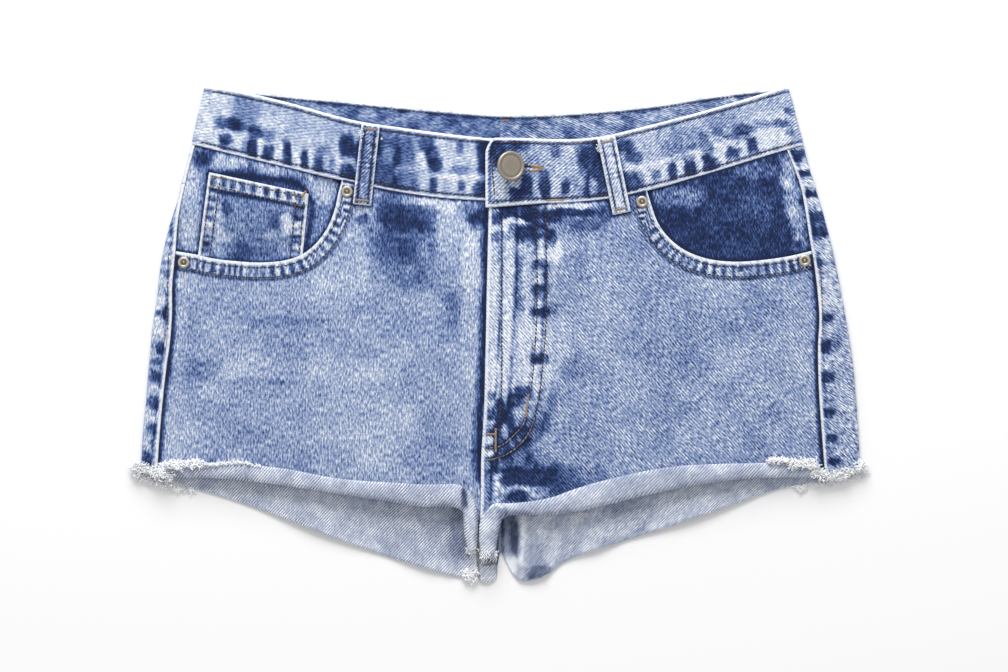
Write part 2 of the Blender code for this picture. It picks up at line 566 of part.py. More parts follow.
def fold_columns(side, y, slant):
    """Columns of a back piece past its flat part: round the side fold and over the top to the outseam.

    `slant` is the share, row by row, by which they run along the front's waist seam instead of straight.
    """
    sign = -1.0 if side == "left" else 1.0
    waist = FRONT_SEAM_LEFT if side == "left" else FRONT_SEAM_RIGHT
    outer, centre, centre_z, radius = fold_of(side, y)
    made = []
    for angle in np.radians((30.0, 60.0, 90.0)):
        x = centre + sign * radius * np.sin(angle)
        made.append([x, y, centre_z - radius * np.cos(angle)])
    end = outseam(side, y)
    end = outseam(side, y + slant * (at_x(waist, end) - at_x(waist, outer)))
    for share in (0.12, 0.4, 0.7, 1.0):
        x = outer + (end - outer) * share
        made.append([x, y + slant * (at_x(waist, x) - at_x(waist, outer)), over_fold(x, y) + 0.2 * share])
    return np.stack([np.stack(column, -1) for column in made], 1)


def back_piece(name, side, top, bottom, columns, rows, slant=0.0):
    """A back panel or yoke: a flat part between two seams, from the seat seam out, and round the side fold."""
    u, v = np.linspace(0, 1, columns) ** 1.4, np.linspace(0, 1, rows)
    upper, lower = (along(line[::-1] if side == "left" else line, u) for line in (top, bottom))
    side_y = np.linspace(upper[-1, 1], lower[-1, 1], rows)
    _, centre, _, _ = fold_of(side, side_y)
    outer = np.stack([centre, side_y], -1)
    seam_y = np.linspace(upper[0, 1], lower[0, 1], rows)
    sign = -1.0 if side == "left" else 1.0
    spread = GAP / 2 + (INSEAM_SPREAD - GAP / 2) * smooth((CROTCH_Y - seam_y) / 12.0)
    seam = np.stack([at_height(SEAT_SEAM, seam_y) + sign * spread, seam_y], -1)
    upper[0], lower[0], upper[-1], lower[-1] = seam[0], seam[-1], outer[0], outer[-1]
    flat = patch(upper, lower, seam, outer, u, v)
    x, y = flat[..., 0], flat[..., 1]
    z = back_height(side, x, y)
    z[:, -1] = DENIM / 2
    points = np.concatenate([np.stack([x, y, z], -1), fold_columns(side, side_y, slant * (1 - v))], 1)
    return wall(name, points if side == "left" else points[:, ::-1], "denim")


def yoke(side):
    """The back yoke, between the waistband and the yoke seam."""
    left_side = side == "left"
    seam = YOKE_LEFT if left_side else YOKE_RIGHT
    x = np.linspace(-197.4, -0.15, 12) if left_side else np.linspace(0.15, 193.6, 12)
    corner = smooth((np.abs(x) - 170.0) / 25.0)
    top = np.stack([x, at_x(BACK_SEAM, x) - SEAM_GAP - 0.4 * corner], -1)
    bottom = [(x, y + GAP / 2) for x, y in seam]
    return back_piece(f"yoke_{side}", side, top, bottom, 16, 4, slant=1.0)


def back_panel(side):
    """A back leg panel, from the yoke seam to the raw hem."""
    seam = YOKE_LEFT if side == "left" else YOKE_RIGHT
    top = [(x, y - GAP / 2) for x, y in seam]
    bottom = BACK_HEM_LEFT[::-1] if side == "left" else BACK_HEM_RIGHT
    return back_piece(f"back_{side}", side, top, bottom, 26, 14)


def waistband(side, rows=5):
    """One half of the waistband: from its front end out to the side, round the fold and back to the centre back."""
    left_side = side == "left"
    sign = -1.0 if left_side else 1.0
    shares = np.linspace(0, 1, rows)
    seam = FRONT_SEAM_LEFT if left_side else FRONT_SEAM_RIGHT
    heights = BAND_HEIGHT_LEFT if left_side else BAND_HEIGHT_RIGHT
    side_top, side_foot = (np.array(p) for p in BAND_SIDE[side])
    front_end = UNDERLAP_END if left_side else OVERLAP_END
    lines = []
    for share in shares:
        corner = side_top + (side_foot - side_top) * share
        radius = (at_x(heights, corner[0]) - BAND / 2) / 2
        centre = corner[0] - sign * (BAND / 2 + radius)
        front_x = np.linspace(front_end, centre, 17)
        front_y = at_x(FRONT_TOP, front_x) * (1 - share) + at_x(seam, front_x) * share
        if left_side:
            front_y = front_y - 0.5 * (1 - share) * smooth((front_x + 14.0) / 6.0)
        front = np.stack([front_x, front_y, at_x(heights, front_x)], -1)
        angles = np.radians((30.0, 60.0, 90.0, 120.0, 150.0))
        fold = np.stack([
            centre + sign * radius * np.sin(angles), np.full(5, front_y[-1]),
            BAND / 2 + radius + radius * np.cos(angles),
        ], -1)
        back_x = np.linspace(centre, sign * GAP / 2, 12)
        back_y = at_x(BACK_TOP, back_x) * (1 - share) + at_x(BACK_SEAM, back_x) * share
        drift = np.linspace(1, 0, len(back_x)) ** 3
        back_y = back_y + (front_y[-1] - back_y[0]) * drift
        back = np.stack([back_x, back_y, np.full_like(back_x, BAND / 2)], -1)
        lines.append(np.concatenate([front, fold, back]))
    points = np.array(lines)
    thick = np.full(points.shape[:2], BAND)
    thick[0], thick[-1] = 0.72 * BAND, 0.8 * BAND
    if left_side:
        points = points[:, ::-1]
    return wall(f"waistband_{side}", points, "denim", thick=thick)


def cut_buttonhole(band):
    """Cuts the keyhole: a round eye where the shank comes through and a slit towards the side."""
    hole = BUTTONHOLE
    bpy.ops.mesh.primitive_cylinder_add(vertices=20, radius=hole["eye_radius"] * MM, depth=12 * MM)
    eye = bpy.context.object
    bpy.ops.mesh.primitive_cube_add(size=1)
    slit = bpy.context.object
    length = hole["end_x"] - hole["eye_x"]
    slit.data.transform(Matrix.Diagonal((length * MM, 2 * hole["slit"] * MM, 11 * MM, 1)))
    slit.data.transform(Matrix.Translation((length / 2 * MM, 0, 0)))
    for cutter, name in ((eye, "buttonhole_eye"), (slit, "buttonhole_slit")):
        cutter.name = name
        cutter.location = Vector((hole["eye_x"] - BOX_CENTRE[0], hole["y"] - BOX_CENTRE[1], 9.0)) * MM
        cutter.hide_render = True
        cutter.display_type = "WIRE"
        for home in list(cutter.users_collection):
            home.objects.unlink(cutter)
        bpy.data.collections["cutters"].objects.link(cutter)
        cut = band.modifiers.new(name, "BOOLEAN")
        cut.operation = "DIFFERENCE"
        cut.object = cutter


def belt_loop(name, top_x, top_y, foot_x, foot_y):
    """A front belt loop: over the waistband, a little slack in the middle, and down onto the front."""
    heights = BAND_HEIGHT_LEFT if top_x < 0 else BAND_HEIGHT_RIGHT
    seam = FRONT_SEAM_LEFT if top_x < 0 else FRONT_SEAM_RIGHT
    down = np.array([foot_x - top_x, foot_y - top_y])
    length = np.linalg.norm(down)
    down = down / length
    across = np.array([-down[1], down[0]])
    shares = np.array([0.0, 0.06, 0.12, 0.3, 0.5, 0.68, 0.76, 0.82, 0.88, 0.94, 1.0])
    widths = np.array([-0.5, -0.36, 0.36, 0.5]) * LOOP_WIDTH
    plan = (
        np.array([top_x, top_y]) + down * length * shares[:, None, None]
        + across * widths[None, :, None]
    )
    x, y = plan[..., 0], plan[..., 1]
    on_band = at_x(heights, x) + BAND / 2
    on_front = over_fold(x, y) + DENIM / 2 + pocket_band("left" if top_x < 0 else "right", x, y, 8.0)
    past_seam = smooth((at_x(seam, x) + 1.5 - y) / 3.5)
    slack = LOOP_SLACK * np.sin(np.pi * np.clip(shares / 0.8, 0, 1))[:, None]
    z = on_band * (1 - past_seam) + on_front * past_seam + GAP + LOOP / 2 + slack
    thick = np.full(x.shape, LOOP)
    thick[:, 0] = thick[:, -1] = 0.6 * LOOP
    z = z - (LOOP - thick) / 2
    return wall(name, np.stack([x, y, z], -1), "denim_worn", thick=thick)


def rivets():
    """Capped rivets at the ends of both pocket openings."""
    for name, x, y in RIVETS:
        z = float(over_fold(np.array(x), np.array(y))) + DENIM / 2 + POCKET_HEM + GAP + 0.5
        turned(name, RIVET_PROFILE, (x, y, z), (0, 0, 1), "rivet_metal", steps=14)


def button():
    """The shank button: its foot on the underlap, its shank through the buttonhole, its cap leaning to the side."""
    lean = math.radians(BUTTON["tilt"])
    axis = Vector((math.sin(lean), 0, math.cos(lean)))
    foot = Vector((BUTTON["x"], BUTTON["y"], at_x(BAND_HEIGHT_LEFT, 0.0) + BAND / 2 + GAP + 1.2))
    place = foot + axis * BUTTON["shank"]
    turned("button", BUTTON_PROFILE, place, axis, "button_metal", steps=24)


def fray(name, roots, directions, threads, shortest, longest, seed):
    """Loosened hem threads: a narrow strip along the raw edge, from which four-sided threads stand out.

    Every second outer face of the strip is extruded and drawn in to a thin tip, so all stay one body.
    """
    rng = np.random.default_rng(seed)
    cells = 2 * threads + 1
    line = along(roots, np.linspace(0, 1, cells + 1)) - np.array([*BOX_CENTRE, 0.0])
    heading = np.radians(np.linspace(*directions, cells + 1))
    out = np.stack([np.cos(heading), np.sin(heading), np.zeros(cells + 1)], -1)
    width, thick = FRAY_STRIP
    up = np.array([0, 0, thick / 2])
    sections = np.stack([line - up, line + out * width - up, line + out * width + up, line + up], 1)
    sides = [
        [4 * cell + k, 4 * cell + 4 + k, 4 * cell + 4 + (k + 1) % 4, 4 * cell + (k + 1) % 4]
        for k in (1, 0, 2, 3) for cell in range(cells)
    ]
    ends = [[0, 1, 2, 3], [4 * cells + k for k in (3, 2, 1, 0)]]
    mesh = bpy.data.meshes.new(name)
    mesh.from_pydata((sections.reshape(-1, 3) * MM).tolist(), [], sides + ends)
    strip = bmesh.new()
    strip.from_mesh(mesh)
    strip.faces.ensure_lookup_table()
    drawn = [strip.faces[cell] for cell in range(1, cells, 2)]
    for number, tip in enumerate(bmesh.ops.extrude_discrete_faces(strip, faces=drawn)["faces"]):
        middle = tip.calc_center_median()
        angle = heading[2 * number + 1] + math.radians(rng.uniform(-24, 24))
        way = Vector((math.cos(angle), math.sin(angle), rng.uniform(-0.25, 0.2)))
        shift = way * rng.uniform(shortest, longest) * MM
        shift.z = max(shift.z, LOWEST_TIP * MM - middle.z)
        bmesh.ops.scale(strip, vec=(0.4, 0.4, 0.4), space=Matrix.Translation(-middle), verts=tip.verts)
        bmesh.ops.translate(strip, vec=shift, verts=tip.verts)
    strip.to_mesh(mesh)
    strip.free()
    return new_object(name, mesh, "denim_fray")


def clear_scene():
    for obj in list(bpy.data.objects):
        bpy.data.objects.remove(obj)


def make_materials():
    for name, (colour, roughness, metallic) in MATERIALS.items():
        material = bpy.data.materials.new(name)
        material.use_nodes = True
        shader = material.node_tree.nodes["Principled BSDF"]
        linear = [c / 12.92 if c <= 0.04045 else ((c + 0.055) / 1.055) ** 2.4 for c in colour]
        shader.inputs["Base Color"].default_value = (*linear, 1)
        shader.inputs["Roughness"].default_value = roughness
        shader.inputs["Metallic"].default_value = metallic
        material.diffuse_color = (*linear, 1)


def main():
    clear_scene()
    make_materials()
    for name in ("denim_shorts", "cutters"):
        bpy.context.scene.collection.children.link(bpy.data.collections.new(name))
    for side in ("left", "right"):
        back_panel(side)
        yoke(side)
        facing(side)
        front_panel(side)
    coin_pocket()
    waistband("left")
    cut_buttonhole(waistband("right"))
    for row in LOOPS:
        belt_loop(*row)
    rivets()
    button()
    for number, row in enumerate(FRAYS):
        fray(*row, seed=number + 3)


main()
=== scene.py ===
"""Looks of the denim cut-off shorts, laid flat on a pale table and seen from straight above.

Every cloth piece is a thin closed shell over its CAD solid, worked out with numpy from the same tables and
formulas as the solids, only finer. Tables are in millimetres, the scene is in metres. X runs across the
shorts, +Y to the waist and +Z up from the table. Left and right are the sides as someone sees them who looks
down at the front.
"""

import logging
import math
from dataclasses import dataclass, field, replace
from enum import Enum

import bmesh
import bpy
import numpy as np
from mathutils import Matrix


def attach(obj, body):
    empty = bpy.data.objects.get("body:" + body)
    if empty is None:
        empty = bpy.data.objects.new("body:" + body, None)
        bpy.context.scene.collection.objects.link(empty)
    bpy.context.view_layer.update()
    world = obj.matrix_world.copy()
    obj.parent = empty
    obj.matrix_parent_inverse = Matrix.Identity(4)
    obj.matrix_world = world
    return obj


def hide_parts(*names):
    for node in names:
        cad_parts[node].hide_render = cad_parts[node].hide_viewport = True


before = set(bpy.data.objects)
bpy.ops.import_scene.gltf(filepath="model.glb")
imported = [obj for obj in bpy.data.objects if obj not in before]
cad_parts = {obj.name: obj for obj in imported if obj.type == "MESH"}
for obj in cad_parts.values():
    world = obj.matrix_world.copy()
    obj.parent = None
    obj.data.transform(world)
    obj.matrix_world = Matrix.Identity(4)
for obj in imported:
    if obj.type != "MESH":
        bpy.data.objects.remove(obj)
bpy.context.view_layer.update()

LOG = logging.getLogger("denim_shorts")

MM = 0.001

# Cloth
DENIM = 1.2                # one layer of washed denim
BAND = 2.4                 # waistband, two layers and the turned seam allowances
LOOP = 2.0                 # belt loop, a strip folded in three
GAP = 0.3                  # what is left between two pieces that are sewn together
POCKET_HEM = 0.8           # how far the double-turned pocket edge stands up
POCKET_HEM_WIDTH = 10.0
FLY_LIFT = 1.6             # the right front lies on the left front along the fly

# Waistband: the front and back top edges, and the seam under the front one
FRONT_TOP = (  # x, y
    (-191.8, 160.4), (-180.7, 159.0), (-140.7, 150.3), (-90.4, 137.1), (-65.0, 133.3),
    (-39.0, 129.8), (-13.0, 127.0), (8.5, 126.6), (52.6, 126.2), (64.4, 127.4),
    (91.0, 133.3), (118.3, 140.3), (145.9, 147.8), (187.2, 160.4),
)
BACK_TOP = (  # x, y
    (-191.8, 160.8), (-151.5, 156.2), (-104.7, 151.5), (-65.0, 147.6), (-25.4, 144.0),
    (0.0, 142.3), (20.8, 142.3), (59.1, 144.4), (91.0, 147.3), (146.2, 156.0), (187.2, 160.8),
)
FRONT_SEAM_LEFT = (  # x, y
    (-200.2, 123.3), (-163.8, 114.3), (-98.8, 99.2), (-65.0, 92.1), (-35.1, 88.2),
    (-8.5, 86.7), (14.0, 86.5),
)
FRONT_SEAM_RIGHT = (  # x, y
    (-9.0, 82.1), (24.7, 84.7), (52.6, 86.0), (72.2, 88.2), (91.0, 92.2), (131.0, 103.0),
    (175.5, 116.6), (197.0, 122.9),
)
BACK_SEAM = (  # x, y
    (-200.2, 123.3), (-151.5, 117.0), (-104.7, 112.0), (-40.0, 105.5), (0.0, 103.3),
    (40.0, 105.0), (104.7, 111.5), (151.5, 117.0), (197.0, 122.9),
)
BAND_SIDE = {"left": ((-192.2, 160.6), (-200.6, 123.3)), "right": ((187.6, 160.6), (197.4, 122.9))}
BAND_HEIGHT_LEFT = ((-200.0, 4.8), (-60.0, 5.2), (-20.0, 5.6), (20.0, 5.6))        # x, z of its middle
BAND_HEIGHT_RIGHT = ((-12.0, 8.5), (16.0, 8.5), (44.0, 5.9), (90.0, 5.2), (200.0, 4.8))
UNDERLAP_END = 14.0
OVERLAP_END = -9.0

# Side folds and outseams: x at each height y
SIDE_LEFT = (
    (123.3, -200.2), (101.8, -205.7), (86.9, -209.3), (75.2, -213.0), (60.9, -217.1),
    (42.7, -220.6), (22.5, -222.9), (10.2, -224.9), (-18.4, -227.9), (-47.0, -230.3),
    (-65.2, -232.1), (-92.0, -233.6),
)
SIDE_RIGHT = (
    (122.9, 197.0), (104.2, 201.9), (91.8, 205.7), (79.3, 209.6), (65.7, 213.3),
    (52.0, 216.5), (37.1, 219.6), (19.9, 222.9), (1.2, 226.2), (-13.4, 228.5),
    (-37.3, 230.9), (-61.2, 232.7), (-92.0, 234.2),
)
OUTSEAM_LEFT = (
    (123.3, -198.0), (100.5, -203.8), (77.1, -208.7), (47.9, -211.4), (31.0, -213.0),
    (12.1, -213.2), (-6.7, -214.6), (-20.4, -216.6), (-42.5, -219.1), (-66.5, -221.3),
    (-92.0, -223.0),
)
OUTSEAM_RIGHT = (
    (122.9, 184.6), (116.8, 187.3), (106.4, 191.6), (94.0, 195.7), (77.1, 198.9),
    (62.2, 201.2), (45.3, 204.1), (23.8, 206.7), (8.2, 207.6), (-5.4, 206.8),
    (-24.3, 206.9), (-47.7, 208.0), (-66.5, 209.4), (-92.0, 211.4),
)
SEAM_INSET = 1.5           # an outseam stays this far inside the fold
SEAM_GAP = 0.4             # what is left under the waistband
OUTSEAM_GAP = 0.8          # the front side of an outseam starts this far from its back side

# Front pockets
POCKET_LEFT = (  # x, y of the opening's edge, from the outseam to the waistband
    (-210.6, 53.2), (-197.6, 51.1), (-187.8, 48.8), (-171.0, 46.7), (-151.5, 46.0),
    (-139.1, 47.4), (-128.7, 51.0), (-121.5, 56.2), (-115.4, 63.2), (-110.0, 72.6),
    (-106.8, 82.0), (-104.9, 91.0), (-103.6, 100.0),
)
POCKET_RIGHT = (  # x, y, from the waistband to the outseam
    (96.3, 93.3), (98.4, 82.4), (102.4, 71.9), (108.8, 62.8), (118.6, 54.7), (133.5, 48.6),
    (150.9, 46.4), (169.6, 47.4), (188.2, 50.1), (203.0, 53.6),
)
FACING_BELOW_LEFT = (  # x, y of the facing's hidden lower edge
    (-212.6, 33.0), (-190.0, 29.0), (-150.0, 26.0), (-120.0, 34.0), (-100.0, 50.0),
)
FACING_END_LEFT = ((-84.0, 95.6), (-88.0, 72.0), (-100.0, 50.0))
FACING_BELOW_RIGHT = ((92.0, 46.0), (112.0, 33.0), (150.0, 26.0), (182.0, 29.0), (205.2, 33.0))
FACING_END_RIGHT = ((76.0, 88.7), (79.0, 66.0), (92.0, 46.0))
FACING_RISE_REACH = 28.0   # the facing comes up to the waistband's level this far inside the opening
COIN_CORNERS = ((-188.6, 104.4), (-124.5, 90.7), (-129.6, 38.0), (-197.6, 38.0))   # from top left, clockwise
COIN_HEM = 9.0

# Fly and centre seams: x at each height y
FLY_EDGE = (
    (90.0, -6.8), (81.2, -7.0), (37.1, -8.1), (-12.6, -9.1), (-54.2, -10.3), (-78.9, -11.8),
    (-112.0, -12.3), (-118.0, -12.6), (-124.0, -12.9), (-150.0, -12.9),
)
FLY_STITCH = (  # x of the outer seam of the fly facing
    (90.0, 29.5), (37.1, 29.5), (3.9, 27.9), (-25.9, 26.2), (-45.7, 24.6), (-59.1, 21.3),
    (-70.6, 14.6), (-81.5, -1.0), (-112.0, -3.0), (-120.0, -8.0),
)
LEFT_CENTRE = (  # x where the left front ends, under the right one
    (90.0, -1.0), (37.1, -2.1), (-12.6, -3.1), (-54.2, -4.3), (-78.9, -6.0), (-105.0, -8.0),
    (-113.0, -11.0), (-118.0, -13.2), (-124.0, -14.9), (-150.0, -15.1),
)
SEAT_SEAM = (  # x of the centre back seam and of the inseams under it
    (110.0, 0.0), (50.0, -1.0), (0.0, -4.0), (-60.0, -9.0), (-118.0, -12.9), (-135.0, -14.0),
    (-170.0, -14.0),
)
INSEAM_SPREAD = 1.0        # the two legs part by this much on each side of the seat seam's line
CROTCH_Y = -118.0
CROTCH_SHARE = 10 / 28     # of a front's columns run down to the turned hem beside the inseam

# Turned-up front hems: the fold below, the raw edge above, the fold's radius and how far the edge tucks in
HEM_LEFT = (  # fold x, fold y, edge x, edge y, radius, tuck in degrees
    (-222.4, -91.4, -221.6, -86.0, 1.0, 0.0),
    (-208.0, -93.4, -209.3, -83.8, 1.3, 5.0),
    (-195.0, -93.6, -195.0, -83.4, 1.7, 30.0),
    (-162.5, -95.8, -163.8, -85.2, 2.2, 110.0),
    (-130.0, -99.9, -135.8, -88.2, 2.5, 130.0),
    (-96.2, -105.0, -103.4, -94.2, 2.7, 130.0),
    (-70.2, -109.1, -78.0, -96.4, 2.8, 130.0),
    (-52.0, -112.2, -53.3, -97.7, 2.9, 130.0),
    (-35.1, -112.4, -35.1, -97.7, 2.9, 130.0),
    (-27.0, -113.4, -26.4, -98.1, 2.8, 130.0),
    (-23.9, -115.8, -20.6, -101.4, 2.6, 130.0),
    (-23.4, -120.0, -16.8, -108.2, 2.5, 130.0),
    (-23.3, -125.0, -14.6, -116.4, 2.4, 130.0),
    (-23.1, -130.0, -14.1, -124.4, 2.3, 130.0),
    (-22.0, -136.0, -14.7, -132.6, 2.0, 110.0),
    (-20.2, -141.4, -15.5, -139.6, 1.5, 60.0),
)
HEM_RIGHT = (
    (-4.2, -146.0, -11.9, -144.8, 1.6, 60.0),
    (-2.5, -138.2, -13.1, -137.0, 2.0, 110.0),
    (-1.0, -131.0, -13.4, -129.4, 2.3, 130.0),
    (0.3, -124.6, -12.8, -121.8, 2.5, 130.0),
    (1.9, -120.2, -10.8, -116.0, 2.7, 130.0),
    (5.4, -118.0, -5.4, -111.2, 2.8, 130.0),
    (13.3, -117.4, 6.5, -109.9, 2.8, 130.0),
    (24.7, -117.4, 19.5, -108.6, 2.8, 130.0),
    (36.4, -117.2, 33.1, -106.2, 2.8, 130.0),
    (50.7, -115.3, 45.5, -101.9, 2.8, 130.0),
    (68.2, -111.4, 62.4, -96.8, 2.7, 130.0),
    (97.5, -104.2, 92.3, -89.4, 2.6, 130.0),
    (132.0, -97.4, 125.5, -85.0, 2.5, 130.0),
    (165.1, -93.6, 162.5, -83.9, 2.1, 110.0),
    (193.0, -93.4, 191.8, -84.2, 1.5, 20.0),
    (211.0, -93.8, 210.2, -88.8, 1.0, 0.0),
)
KNEE_LEFT, KNEE_RIGHT = 9, 6   # the rows where the hems turn down at the crotch
EDGE_TUCK_RADIUS = 1.2         # of the turn at the raw edge

# Back hems: the raw edge from the inseam out to the side fold
BACK_HEM_LEFT = (  # x, y
    (-14.6, -156.2), (-19.5, -159.8), (-24.1, -158.6), (-32.5, -156.9), (-45.5, -153.2),
    (-61.8, -148.4), (-78.0, -143.2), (-117.0, -128.9), (-156.0, -114.2), (-178.8, -106.4),
    (-199.6, -100.4), (-211.2, -96.6), (-223.0, -92.6), (-231.0, -90.0),
)
BACK_HEM_RIGHT = (
    (-12.8, -160.6), (-7.2, -161.6), (-3.2, -159.6), (-1.6, -150.4), (0.6, -142.5), (4.4, -149.1),
    (8.5, -156.4), (12.6, -160.2), (18.2, -160.8), (24.1, -159.4), (32.0, -155.6), (40.3, -149.2),
    (50.0, -144.6), (62.4, -140.6), (78.0, -135.6), (117.0, -123.1), (156.0, -109.6),
    (181.3, -101.0), (200.0, -97.0), (214.0, -94.4), (230.0, -90.6),
)
HEM_LIFTS = (  # centre x, half width, height of the places where the back hem stands off the table
    (-118.0, 48.0, 2.2), (-50.0, 26.0, 1.4), (24.0, 14.0, 1.6), (62.0, 22.0, 1.6), (128.0, 50.0, 2.2),
)
HEM_LIFT_REACH = 26.0

# Yoke seam on the back, from the side to the centre
YOKE_LEFT = ((-206.0, 97.0), (-150.0, 88.0), (-75.0, 64.0), (-0.15, 47.0))   # x, y
YOKE_RIGHT = ((0.15, 47.0), (75.0, 64.0), (150.0, 88.0), (203.0, 100.0))

# How the layers lie: height of the middle of the front cloth at the outseams, and its swell between them
LAY_SIDE = (  # y, z
    (-170.0, 3.3), (-92.0, 3.3), (-40.0, 3.7), (10.0, 4.6), (45.0, 5.4), (90.0, 5.4), (125.0, 5.1),
)
LAY_SWELL = ((-170.0, 1.6), (-92.0, 1.9), (-20.0, 2.4), (45.0, 1.2), (90.0, 0.3), (125.0, 0.2))
CROTCH_BUMP = {"x": -12.0, "y": -124.0, "height": 2.2, "spread": 22.0}

CROTCH_FOLDS = (  # centre x, centre y, lean of x over y, width to the left and right, half length, height
    (12.9, -136.0, 0.04, 0.9, 4.2, 24.0, 2.3), (8.0, -133.0, 0.1, 3.0, 3.0, 18.0, -0.4),
    (26.0, -128.0, 0.35, 5.0, 5.0, 20.0, 0.8), (-27.0, -138.0, 0.3, 3.4, 1.2, 20.0, 1.0),
    (-36.0, -134.0, 0.5, 5.0, 5.0, 22.0, 0.6), (26.0, -156.0, -1.8, 2.0, 4.0, 10.0, 1.2),
)

# Belt loops, rivets and the button
LOOP_WIDTH = 11.4
LOOP_SLACK = 1.0           # how far a loop's middle stands off the band
LOOPS = (  # name, top x, top y, bottom x, bottom y
    ("belt_loop_left", -83.9, 135.2, -89.5, 83.8),
    ("belt_loop_right", 68.9, 127.0, 79.0, 78.4),
)
RIVETS = (  # name, x, y
    ("rivet_left_waist", -99.3, 92.2), ("rivet_left_side", -205.2, 46.2),
    ("rivet_right_waist", 92.2, 85.6), ("rivet_right_side", 197.7, 47.4),
)
RIVET_FOOT = 0.5           # a rivet's foot is this thick below its height 0
BUTTON = {"x": 2.9, "y": 108.6, "tilt": 26.0, "shank": 8.2}
SHANK_ROOM = 1.2           # keeps the rim of the leaning shank's foot off the band
BUTTONHOLE = {"eye_x": 4.6, "y": 108.3, "end_x": 28.6, "eye_radius": 4.3, "slit": 1.1}

# Frayed ends of the hems: threads that stand out from a strip of loosened weave
FRAYS = (  # name, root line of (x, y, z), first and last direction in degrees, threads, shortest, longest
    ("fray_left_side",
     ((-233.9, -84.0, 2.2), (-234.0, -89.0, 2.2), (-233.0, -90.9, 1.5), (-230.0, -91.2, 0.8),
      (-224.0, -93.1, 0.8), (-214.0, -96.4, 0.8)),
     (172.0, 250.0), 17, 3.0, 5.6),
    ("fray_left_cuff",
     ((-191.0, -83.1, 7.5), (-203.0, -83.2, 7.0), (-212.0, -83.7, 6.3), (-221.0, -85.4, 5.6)),
     (84.0, 118.0), 12, 1.4, 3.2),
    ("fray_right_side",
     ((213.0, -95.3, 0.8), (222.0, -93.3, 0.8), (230.0, -91.5, 0.8), (233.9, -91.3, 1.5),
      (234.9, -89.0, 2.2), (234.9, -84.0, 2.2)),
     (285.0, 368.0), 17, 3.0, 5.6),
    ("fray_right_cuff",
     ((209.4, -88.2, 5.4), (200.0, -85.5, 6.2), (190.0, -83.6, 6.9), (176.0, -83.3, 7.9)),
     (70.0, 96.0), 12, 1.4, 3.2),
)

# Middle of the shorts' box in the tables' numbers, which goes to the origin
BOX_CENTRE = (0.3, -0.6)

# The looks
PIXEL = 0.65               # millimetres on the table in one pixel of the photograph
PIXEL_ORIGIN = (500.0, 333.65)   # the pixel at the tables' x = 0 and y = 0
NOT_WORN = 99.0            # distance to a worn edge where there is none, in millimetres
ROLL_WASH = 0.59           # the wash's usual lightness on the rolled hems
BAND_WASH = 0.66           # and on the waistband
BAND_DROP = 38.0           # the waistband's height as it lies
EDGE_ROW = 2.6             # the waistband's edge stitching, from its edges
LOOP_LENGTH = 51.7         # a belt loop's length as it lies


class Side(Enum):
    """A half of the shorts as seen from above; the value is the sign of its x."""

    LEFT = -1.0
    RIGHT = 1.0

    @property
    def word(self) -> str:
        """The side's word in the names of the nodes."""
        return self.name.lower()


def smooth(t: np.ndarray) -> np.ndarray:
    """An S curve from 0 to 1 as t goes from 0 to 1: 3 t^2 - 2 t^3."""
    t = np.clip(t, 0.0, 1.0)
    return t * t * (3.0 - 2.0 * t)


def bell(t: np.ndarray) -> np.ndarray:
    """A bell curve, 1 in the middle: e to the power of -t^2."""
    return np.exp(-t ** 2)


def lengths(line: np.ndarray) -> np.ndarray:
    """How far along a line each of its points is."""
    return np.concatenate([[0.0], np.cumsum(np.linalg.norm(np.diff(line, axis=0), axis=1))])


def through(keys: np.ndarray, values: np.ndarray, at: np.ndarray) -> np.ndarray:
    """A smooth curve through values at rising keys, of cubic pieces whose slopes are weighted means.

    Args:
        keys: rising numbers.
        values: one row for each key.
        at: the places to read.

    Returns:
        One row for each place.
    """
    keys, values = np.asarray(keys, float), np.asarray(values, float)
    at = np.clip(np.asarray(at, float), keys[0], keys[-1])
    wide = (...,) + (None,) * (values.ndim - 1)
    steps = np.diff(keys)
    slopes = np.diff(values, axis=0) / steps[wide]
    share = (steps[1:] / (steps[1:] + steps[:-1]))[wide]
    between = slopes[:-1] * share + slopes[1:] * (1.0 - share)
    tangents = np.concatenate([slopes[:1], between, slopes[-1:]])
    i = np.clip(np.searchsorted(keys, at, side="right") - 1, 0, len(steps) - 1)
    span, t = steps[i][wide], ((at - keys[i]) / steps[i])[wide]
    return (
        values[i] * (1 + 2 * t) * (1 - t) ** 2 + tangents[i] * span * t * (1 - t) ** 2
        + values[i + 1] * t * t * (3 - 2 * t) + tangents[i + 1] * span * t * t * (t - 1)
    )


def at_height(table: tuple, y: np.ndarray) -> np.ndarray:
    """x on a seam or fold whose table gives x at falling heights y."""
    rows = np.array(table[::-1])
    return through(rows[:, 0], rows[:, 1], y)


def at_x(table: tuple, x: np.ndarray) -> np.ndarray:
    """y on an edge whose table gives y at rising x, or z at rising y."""
    rows = np.array(table)
    return through(rows[:, 0], rows[:, 1], x)


def along(table: tuple, shares: np.ndarray) -> np.ndarray:
    """Rows of a table, smoothly, at shares of its first two columns' length.

    Args:
        table: rows of numbers.
        shares: from 0 at the first row to 1 at the last.

    Returns:
        One row for each share.
    """
    rows = np.array(table, float)
    reach = lengths(rows[:, :2])
    return through(reach / reach[-1], rows, shares)


